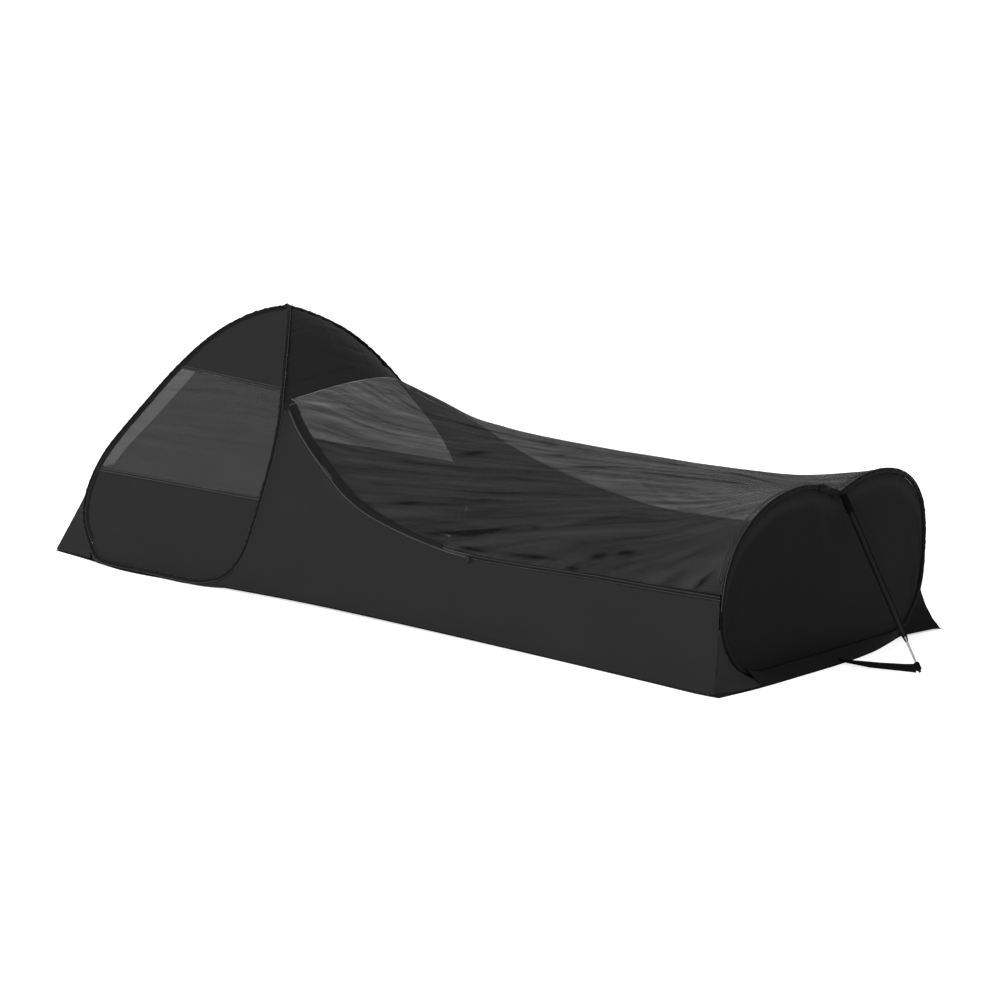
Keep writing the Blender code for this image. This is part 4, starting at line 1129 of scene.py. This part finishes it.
# Zip, binding, flap and slider
# The near wall is joined to the canopy by a coil zip on black tape. A narrow cloth flap covers it
# and tapers away from the head; past the slider two rows of stitches carry on to the foot ring.
ZIP_POINTS = 460
ZIP_START = -0.401
ZIP_INNER_START = -0.20
SLIDER_X = 0.345
ZIP_CORD = 0.0007
ZIP_CORD_BELOW = 0.0036
ZIP_SHADE = 0.0085
BINDING_SHADE = 0.0020
LINE_GLINT_GREY = 0.105
TAPE_HALF = ZIP_WIDTH * 0.68
TAPE_THICK = 0.0009
TAPE_BULGE = 0.0012
TAPE_LIFT = 0.0003
TAPE_STEEP_LIFT = 0.0015
ZIP_STITCHES = (-0.0034, 0.0034)
BINDING_STITCHES = (-0.0036, 0.0036)
COIL_WIDE = 0.0014
COIL_THICK = 0.0010
COIL_PROUD = 0.0014
COIL_PITCH = 0.0024
COIL_POINTS = 2000
FLAP_GRID = (193, 241)
FLAP_COLUMNS = 116
FLAP_WIDTHS = np.array([(-0.450, 0.015), (-0.400, 0.017), (-0.200, 0.016), (-0.080, 0.013), (0.020, 0.009),
                        (0.100, 0.005), (0.170, 0.002)])
SLIDER_PROUD = 0.0042
SLIDER_BELOW = 0.002
SLIDER_LENGTH = 0.011
SLIDER_BOW = 0.0012
SLIDER_WIDE = 0.0022
SLIDER_THICK = 0.0008


def grainy(name, dark, pale, scale, rough, gloss):
    """Moulded plastic, with a fine grain in its tone and its roughness."""
    made, shader, start = new_material(name)
    place = start.node("TexCoord", output="Object")
    grain = start.node("TexNoise", inputs={"Vector": place, "Scale": scale})
    fill(start, shader, {"Base Color": grain.blend(shade(dark), shade(pale)),
                         "Roughness": grain * 0.2 + rough, "Specular IOR Level": gloss})
    return made


low = zip_curve(ZIP_POINTS)
steep = np.abs(np.gradient(low[:, 2]) / np.gradient(low[:, 0]))
low[:, 2] += GAP + TAPE_LIFT + TAPE_STEEP_LIFT * steep
ahead = unit(np.gradient(low, axis=0))
zip_up = unit(UP - ahead[:, 2:] * ahead)
zip_out = np.cross(ahead, zip_up)
zip_out *= np.sign(-zip_out[:, 1:2])
zip_middle = low + zip_up * ZIP_WIDTH / 2
zip_tape_cloth = woven("zip_tape", ZIP_SHADE, pitch=0.0012, patches=0.3)
far_binding_cloth = woven("far_binding", BINDING_SHADE, pitch=0.0012, patches=0.3, gloss=0.02)
# the zip line cords are real; their pale grey is painted highlight, for the glint along them
glint_line_cord = woven("zip_line_cord", LINE_GLINT_GREY, pitch=0.0014, patches=0.3, rough=0.65)
share = np.linspace(-1.0, 1.0, 9)[:, None, None]
tape_grid = zip_middle[None] + zip_up[None] * share * TAPE_HALF
tape_grid = tape_grid + zip_out[None] * TAPE_BULGE * (1 - share**2)
fasten(panel("zip_tape", tape_grid, zip_tape_cloth, TAPE_THICK), "zip", "zip")
fasten(panel("wall_binding", mirrored(tape_grid), far_binding_cloth, TAPE_THICK), "trim", "far_wall_binding")

opened = zip_middle[:, 0] < SLIDER_X
begun = opened & (zip_middle[:, 0] > ZIP_START)
inner_edge = opened & (zip_middle[:, 0] > ZIP_INNER_START)
edge = zip_middle - zip_up * ZIP_CORD_BELOW + zip_out * TAPE_BULGE
cord("zip_line", edge[begun], zip_out[begun], ZIP_CORD, glint_line_cord, "zip", side=zip_up[begun])
wander = 0.0034 + 0.0010 * ripple(zip_middle[:, 0], 0.11, 129)[:, None]
edge = zip_middle + zip_up * wander
cord("zip_line_inner", edge[inner_edge], zip_out[inner_edge], ZIP_CORD * 0.8, glint_line_cord, "zip",
     side=zip_up[inner_edge], lift=COIL_PROUD)
bulge_line = zip_middle + zip_out * TAPE_BULGE
stitching("zip_tape_stitches", bulge_line[~opened], zip_out[~opened], ZIP_STITCHES)
stitching("wall_binding_stitches", bulge_line, zip_out, BINDING_STITCHES, mirrored)

coil_span = evenly(np.column_stack([zip_middle + zip_out * COIL_PROUD, zip_up, zip_out])[begun], COIL_POINTS)
coil_line = coil_span[:, :3]
swell = 1.0 + 0.35 * np.sin(2 * math.pi * travelled(coil_line) / COIL_PITCH)
coil_profile = round_profile(COIL_WIDE, COIL_THICK, 8)[None] * swell[:, None, None]
zip_nylon = grainy("zip_nylon", 0.012, 0.030, scale=260.0, rough=0.4, gloss=0.3)
fasten(swept("zip_coil", coil_line, coil_span[:, 3:6], coil_span[:, 6:], coil_profile, zip_nylon), "zip")

# the flap's rows climb the canopy from the zip, by each column's own width
fine = canopy_grid(*FLAP_GRID)
columns = np.arange(FLAP_COLUMNS)
row_step = np.linalg.norm(np.diff(fine[:9], axis=0), axis=2).sum(axis=0)[columns] / 8
reach = np.interp(fine[0, columns, 0], FLAP_WIDTHS[:, 0], FLAP_WIDTHS[:, 1]) / row_step
where = reach[:, None] * np.linspace(0.0, 1.0, 14)[None, :]
upper_flap = np.moveaxis(along_rows(np.moveaxis(fine, 0, 1)[columns], where), 0, 1)
station = columns / (FLAP_GRID[1] - 1) * (ZIP_POINTS - 1)
zip_spot = np.column_stack([np.interp(station, np.arange(ZIP_POINTS), zip_middle[:, k]) for k in range(3)])
zip_away = np.column_stack([np.interp(station, np.arange(ZIP_POINTS), zip_out[:, k]) for k in range(3)])
flap = np.concatenate([(zip_spot + zip_away * 0.0006)[None], upper_flap])
folds = 0.0022 + 0.0010 * np.abs(ripple(spread(flap)[0], 0.05, 131))
sew("zip_cover", flap, folds, hem_cloth, "trim", ["net_canopy"], "zip_flap", thickness=0.0008)

# a pale cord runs up the head end of the flap; like the zip line, its pale grey is in part painted highlight
first = int(np.searchsorted(flap[0, :, 0], ZIP_START))
end_line = np.vstack([(zip_spot - UP * 0.003 + zip_away * TAPE_BULGE)[first],
                      (flap + facing_out(flap) * 0.0036)[1:, first]])
end_line = evenly(end_line, 20)
end_ahead = unit(np.gradient(end_line, axis=0))
end_side = unit(np.cross(end_ahead, facing_out(flap)[6, first]))
cord("zip_end_line", end_line, np.cross(end_side, end_ahead), ZIP_CORD, glint_line_cord, "zip", side=end_side)

slider_at = int(np.argmin(np.abs(zip_middle[:, 0] - SLIDER_X)))
slider_out, slider_up = zip_out[slider_at], zip_up[slider_at]
share = np.linspace(0.0, 1.0, 24)[:, None]
tag_line = zip_middle[slider_at] + slider_out * SLIDER_PROUD
tag_line = tag_line - slider_up * (SLIDER_BELOW + SLIDER_LENGTH * share)
tag_line = tag_line + slider_out * SLIDER_BOW * np.sin(math.pi * share)
tag_size = np.sqrt(np.clip(1.0 - (2 * share - 1) ** 8, 0.05, 1.0))
tag_profile = round_profile(SLIDER_WIDE, SLIDER_THICK, 12)[None] * tag_size[:, :, None]
slider_black = grainy("slider_paint", 0.006, 0.014, scale=300.0, rough=0.45, gloss=0.12)
fasten(swept("slider_pull", tag_line, ahead[slider_at], slider_out, tag_profile, slider_black), "plastic")
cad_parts["zip_slider"].material_slots[0].material = slider_black

# Foot ring and foot wall
# A second, smaller sprung ring stands upright at the foot in its own sleeve. A wall of cloth closes
# it, painted darker than the side walls as shade; at the top the sleeve is gathered into a notch beside the
# strut.
FOOT_BULGE = 0.012
# painted shade: the foot taffeta is given a far darker grey than the walls' taffeta, for the foot end, which
# faces away from the lamp
FOOT_SHADED_GREY = 0.0057
# painted highlight: a soft paler band just below the top of the foot wall, where light grazes its rounded
# top
FOOT_PAINTED_HIGHLIGHT = (0.022, 0.016, 0.75)
RING_SHADE = 0.0050
RING_MIDDLE = 0.2
HIGHLIGHT_PIPING_FROM = 0.17
SHADE_PIPING = 0.0014
INNER_PIPING = 0.0010
SKIRT_HALF = 0.287
SKIRT_LAP = 0.004
CORNER_FLARE = 0.045
TIE_RADIUS = 0.0098
TIE_REACH = 0.080
TIE_LENGTH = 0.085
TIE_GATHERS = 0.0034
TIE_POINTS = 160


def ring_frame(count):
    """The foot ring's line, the way out of the loop in its own surface, and the way to the foot."""
    ring = ring_line(count)
    out = unit(np.cross(loop_tangents(ring), [1.0, 0.0, 0.0]))
    out *= np.sign(np.mean(out[:, 2] * (ring[:, 2] - RING_MIDDLE)))
    fore = unit(np.cross(loop_tangents(ring), out))
    return ring, out, fore * np.sign(fore[:, :1])


def ring_offset(distance):
    """The foot ring moved in its own surface: outwards by distance, or inwards if negative."""
    ring, out, _ = ring_frame(FINE_LOOP)
    return ring + distance * out


def from_first(inside):
    """The numbers of a loop's points that lie inside, in order from where it comes in."""
    return np.roll(np.arange(len(inside)), -int(np.argmax(inside & ~np.roll(inside, 1))))[:int(inside.sum())]


ring, ring_out, ring_fore = ring_frame(SLEEVE_POINTS)
pucker = SLEEVE_PUCKER * ripple(travelled(ring), PUCKER_PITCH, 141)
ring_profile = plain_sleeve * (1.0 + pucker / SLEEVE_THICK)[:, None, None]
foot_cloth = woven("foot_taffeta", FOOT_SHADED_GREY, gloss=0.03, band=FOOT_PAINTED_HIGHLIGHT)
# painted shade: a darker copy of the foot taffeta for the far foot corner, which faces away from the lamp
shaded_corner_cloth = woven("corner_taffeta_painted_shade", FOOT_SHADED_GREY * 0.6, gloss=0.03)
# painted light: a lighter copy of the foot taffeta, lifting the skirt, which faces down and away from the
# lamp, to the foot wall's tone
lit_skirt_cloth = woven("skirt_taffeta_painted_light", FOOT_SHADED_GREY * 1.15, gloss=0.03)
ring_cloth = woven("ring_binding", RING_SHADE, pitch=0.0012, patches=0.25, rough=0.65)
fasten(swept("ring_sleeve", ring, ring_out, ring_fore, ring_profile, ring_cloth, True), "trim", "foot_ring")

# the outer piping is a pale cord over the top, painted highlight where the lamp catches the ring, and a
# thicker black one below the zip, painted shade where the ring faces down and away
outer_edge, inner_edge = SLEEVE_WIDE + PIPING_BESIDE, -SLEEVE_WIDE - PIPING_BESIDE
in_highlight = ring[:, 2] > HIGHLIGHT_PIPING_FROM
for label, shift, span, radius, look in (
        ("upper", outer_edge, from_first(in_highlight), PIPING_RADIUS, piping_cloth_painted_glint),
        ("lower", outer_edge, from_first(~in_highlight), SHADE_PIPING, dark_cord),
        ("inner", inner_edge, from_first(ring[:, 2] > 0.03), INNER_PIPING, dark_cord)):
    cord("ring_piping_" + label, (ring + shift * ring_out)[span], ring_fore[span], radius, look, "trim",
         side=ring_out[span], lift=PIPING_PROUD)

inner_ring = ring_offset(-(RING_RADIUS + GAP))
low_half = inner_ring[inner_ring[:, 2] < RING_MIDDLE]
low_half = low_half[np.argsort(low_half[:, 1])]
high_half = inner_ring[inner_ring[:, 2] >= RING_MIDDLE]
high_half = high_half[np.argsort(high_half[:, 1])]
reach = np.abs(inner_ring[:, 1]).max() - 0.0008
y = reach * np.sin(np.linspace(-np.pi / 2, np.pi / 2, 161))
base = np.interp(y, low_half[:, 1], low_half[:, 2])
crown = np.interp(y, high_half[:, 1], high_half[:, 2])
share = np.linspace(1.0, 0.0, 121)[:, None]
z = base + (crown - base) * share
bulge = FOOT_BULGE * (1 - (2 * share - 1) ** 2) * (1 - (y / reach) ** 2)
smooth = np.stack([ring_x(z) + bulge, np.broadcast_to(y, z.shape), z], axis=-1)
s, t = spread(smooth)
folds = puckers(smooth, pitch=0.022, depth=0.0010, reach=0.02, seed=151, edges="bt")
folds += rucks(s, t, seed=153, count=24, length=0.10, width=0.018, depth=0.0018, lean=0.9, spread_lean=0.7)
folds *= fade_in(np.minimum(s, s[:, -1:] - s), 0.02)
sew("foot_end_wall", smooth, folds, foot_cloth, "foot_cloth", ["ring_sleeve"], "foot_wall")

# a low skirt of cloth closes the gap between the ring and the sheet's foot edge
skirt_y = np.linspace(-SKIRT_HALF, SKIRT_HALF, 121)
skirt_top = np.interp(skirt_y, low_half[:, 1], low_half[:, 2]) + SKIRT_LAP
upper_edge = np.column_stack([ring_x(skirt_top) + RING_RADIUS, skirt_y, skirt_top])
lower_x = np.interp(skirt_y, foot_edge[:, 0], foot_edge[:, 1]) - EDGE_HEM
lower_edge = np.column_stack([lower_x, skirt_y, np.full(121, FLOOR_TOP)])
skirt = np.moveaxis(between(lower_edge, upper_edge, 12), 0, 1)
s, t = spread(skirt)
folds = 0.0004 * ripple(s, 0.045, 157) * np.sin(np.clip(t / t[-1:], 0.0, 1.0) * math.pi)
sew("foot_skirt", skirt, folds, lit_skirt_cloth, "foot_cloth", ["ring_sleeve", "ground_cloth"])

outer_ring = ring_offset(RING_RADIUS + GAP)
outer_ring = outer_ring[(outer_ring[:, 1] < -0.05) & (outer_ring[:, 2] < 0.19)]
outer_ring = outer_ring[np.argsort(outer_ring[:, 2])]
z = np.linspace(BASE_Z + 0.0004, FOOT_GUSSET_TOP - 0.002, 50)
smooth = between(foot_corner_line(z) + np.array([-0.0002, 0.0, 0.0]), beside(outer_ring, z), 40)
s, t = spread(smooth)
folds = puckers(smooth, pitch=0.02, depth=0.0010, reach=0.014, seed=161, edges="lr") * fade_in(t, 0.02)
folded = smooth + facing_out(smooth) * folds[..., None]
# its lowest part flares out to the sheet's foot edge
flare = np.clip((CORNER_FLARE - smooth[..., 2]) / (CORNER_FLARE - BASE_Z), 0.0, 1.0) ** 2 * fade_in(s, 0.05)
for side, place in SIDES:
    edge_x = np.interp(place(smooth)[..., 1], foot_edge[:, 0], foot_edge[:, 1]) - 0.003
    moved = (flare * np.maximum(edge_x - smooth[..., 0], 0.0))[..., None] * np.array([1.0, 0.0, 0.0])
    # the near corner takes the walls' taffeta, the far one the darker copy as painted shade
    look = wall_cloth if side == "near" else shaded_corner_cloth
    piece = panel("foot_corner_" + side, place(folded) + moved, look)
    fasten(piece, "foot_cloth", "foot_gusset_" + side)
    declare(place(smooth) + moved)

notch = ring_line()
notch = notch[(notch[:, 2] > 0.3) & (notch[:, 1] < -0.002) & (notch[:, 1] > -TIE_REACH)]
notch = evenly(notch[np.argsort(notch[:, 1])], TIE_POINTS)
notch_ahead = unit(np.gradient(notch, axis=0))
notch_fore = unit(np.array([1.0, 0.0, 0.0]) - notch_ahead[:, :1] * notch_ahead)
length = np.linspace(0.0, TIE_LENGTH, TIE_POINTS)[:, None]
phase = np.linspace(0.0, 2 * math.pi, 24, endpoint=False)[None, :]
ruffle = TIE_GATHERS * ripple(length, 0.011, 171)
radius = TIE_RADIUS * 0.80 + ruffle * (0.6 + 0.4 * np.cos(3 * phase + length * 140))
gathered = np.stack([radius * np.cos(phase), radius * np.sin(phase)], axis=-1)
tie = swept("gathered_sleeve", notch, notch_fore, np.cross(notch_ahead, notch_fore), gathered, hoop_cloth)
fasten(tie, "trim", "foot_tie")

# Apex tab
# Where the two hoops meet, their sleeves are sewn into a small pointed tab of binding. It is five
# ribs round, and narrows upwards by a power of the height that is left.
TAB_BASE = 0.0015
TAB_HEIGHT = 0.0085
TAB_WIDE = 0.0085
TAB_THICK = 0.0130
TAB_SIDES = 20
apex = hoop_line()[int(np.argmax(hoop_line()[:, 2]))] * np.array([1.0, 0.0, 1.0])
rise = np.linspace(0.0, 1.0, 16)[:, None]
tab_line = apex + UP * (TAB_BASE + TAB_HEIGHT * rise)
ribs = 1.0 + 0.06 * np.sin(5 * np.linspace(0, 2 * math.pi, TAB_SIDES, endpoint=False))
tab_size = np.clip(1.0 - rise, 0.06, 1.0) ** 0.7 * ribs[None, :]
tab_profile = round_profile(TAB_WIDE, TAB_THICK, TAB_SIDES)[None] * tab_size[..., None]
tab = swept("apex_tab", tab_line, [1.0, 0.0, 0.0], [0.0, 1.0, 0.0], tab_profile, hoop_cloth)
fasten(tab, "trim", "apex_cap")

# Strut
# A thin metal tube props the foot. Its upper end sits in a sewn pocket at the notch, a flat sleeve
# covers most of it, and a webbing strap from the foot of the wall loops round its lower end.
STRUT_TOP = np.array([1.1065, 0.0, 0.373])
STRUT_END = np.array([1.3170, 0.0, 0.0140])
POCKET_LENGTH = 0.042
POCKET_LAP = 0.002
SLEEVE_END = 0.335
SLEEVE_FACING = np.array([0.73, 0.68, 0.0])
SLEEVE_EDGE = 0.0056
SLEEVE_EDGE_WIDE = 0.0021
SLEEVE_EDGE_THICK = 0.0024
STRAP_WIDTH = 0.019
STRAP_THICK = 0.0018
STRAP_START = 1.078
STRAP_END = 1.3065
STRAP_LOW = np.array([(1.078, 0.0022), (1.188, 0.0024), (1.283, 0.0100), (1.302, 0.0115)])
STRAP_HIGH = np.array([(1.078, 0.0070), (1.142, 0.0110), (1.213, 0.0180), (1.278, 0.0262), (1.300, 0.0300)])
LOOP_ABOVE_END = 0.0045
LOOP_WIDE = 0.0066
LOOP_THICK = 0.0070
strut_length = float(np.linalg.norm(STRUT_END - STRUT_TOP))
down = (STRUT_END - STRUT_TOP) / strut_length
broad = unit(SLEEVE_FACING - np.dot(SLEEVE_FACING, down) * down)
face = np.cross(down, broad)
sleeve_cloth = woven("strut_sleeve_cloth", 0.010, pitch=0.0012, patches=0.3)
pocket_cloth = woven("strut_pocket_cloth", 0.0018, pitch=0.0014, patches=0.3, gloss=0.03)
strap_cloth = woven("strap_webbing", 0.0024, pitch=0.0020, patches=0.35, gloss=0.04, relief=0.0002)


def strut_piece(name, begin, end, count, wide, thick, taper, look, *nodes):
    """A flattened sewn tube along the strut between two distances down it. wide is half its breadth,
    and taper gives the share of its size that is left at its start and at its end."""
    share = np.linspace(0.0, 1.0, count)
    path = STRUT_TOP + down * (begin + (end - begin) * share)[:, None]
    size = taper[0] + (1 - taper[0]) * fade_in(share, 0.1) ** 0.5
    size *= taper[1] + (1 - taper[1]) * fade_in(1 - share, 0.08) ** 0.5
    size *= 1.0 + 0.05 * ripple(share * (end - begin), 0.022, 181)
    profile = round_profile(wide, thick, 20)[None] * size[:, None, None]
    sway = broad * (0.0006 * ripple(share * (end - begin), 0.09, 182))[:, None]
    fasten(swept(name, path + sway, broad, face, profile, look), "trim", *nodes)


strut_piece("pocket", 0.0, POCKET_LENGTH, 60, 0.0088, 0.0075, (0.75, 0.9), pocket_cloth, "strut_pocket")
strut_piece("pole_sleeve", POCKET_LENGTH - POCKET_LAP, SLEEVE_END, 160, 0.0050, 0.0040, (0.9, 0.6),
            sleeve_cloth, "strut_sleeve")
# dark cords along both edges of the sleeve: painted shade, for the sleeve's shaded flanks
share = np.linspace(0.0, 1.0, 120)[:, None]
narrow = 1.0 - 0.75 * fade_in(share - 0.93, 0.07)
shade_edge_line = STRUT_TOP + down * (POCKET_LENGTH + (SLEEVE_END + 0.010 - POCKET_LENGTH) * share)
for label, shift in (("left", -SLEEVE_EDGE), ("right", SLEEVE_EDGE)):
    fasten(swept("pole_sleeve_shade_edge_" + label, shade_edge_line + broad * shift * narrow, broad, face,
                 round_profile(SLEEVE_EDGE_WIDE, SLEEVE_EDGE_THICK, 10), dark_cord), "trim")

share = np.linspace(0.0, 1.0, 90)
strap_x = STRAP_START + (STRAP_END - STRAP_START) * share
strap_low = np.interp(strap_x, STRAP_LOW[:, 0], STRAP_LOW[:, 1])
strap_high = np.interp(strap_x, STRAP_HIGH[:, 0], STRAP_HIGH[:, 1])
rise = np.linspace(0.0, 1.0, 13)[:, None]
strap_y = 0.0012 * np.sin(5.0 * share) * rise + 0.0007 * ripple(strap_x, 0.04, 191) * (rise - 0.5)
strap = np.stack([np.broadcast_to(strap_x, strap_y.shape), strap_y,
                  strap_low + (strap_high - strap_low) * rise], axis=-1)
webbing = fasten(panel("strap_band", strap, strap_cloth, STRAP_THICK), "trim", "strut_strap")
declare(strap)
share = np.linspace(0.0, 1.0, 40)[:, None]
loop_path = STRUT_TOP + down * (strut_length - LOOP_ABOVE_END - STRAP_WIDTH + STRAP_WIDTH * share)
loop_size = 1.0 + 0.10 * ripple(share * STRAP_WIDTH, 0.006, 193) - 0.25 * np.abs(2 * share - 1) ** 6
loop_profile = round_profile(LOOP_WIDE, LOOP_THICK, 18)[None] * loop_size[:, :, None]
fasten(swept("strap_loop", loop_path, broad, face, loop_profile, strap_cloth), "trim")

tip_black = grainy("strut_tip_plastic", 0.006, 0.012, scale=300.0, rough=0.45, gloss=0.12)
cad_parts["strut_tip"].material_slots[0].material = tip_black
pole_metal, metal_shader, start = new_material("strut_metal")
brushed = start.node("Mapping", inputs={"Vector": start.node("TexCoord", output="Object"),
                                        "Scale": (40.0, 900.0, 40.0)})
grain = start.node("TexNoise", inputs={"Vector": brushed, "Scale": 1.0})
fill(start, metal_shader, {"Base Color": grain.blend(shade(0.24), shade(0.42)),
                           "Roughness": grain * 0.2 + 0.25, "Metallic": 1.0})
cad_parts["strut_pole"].material_slots[0].material = pole_metal
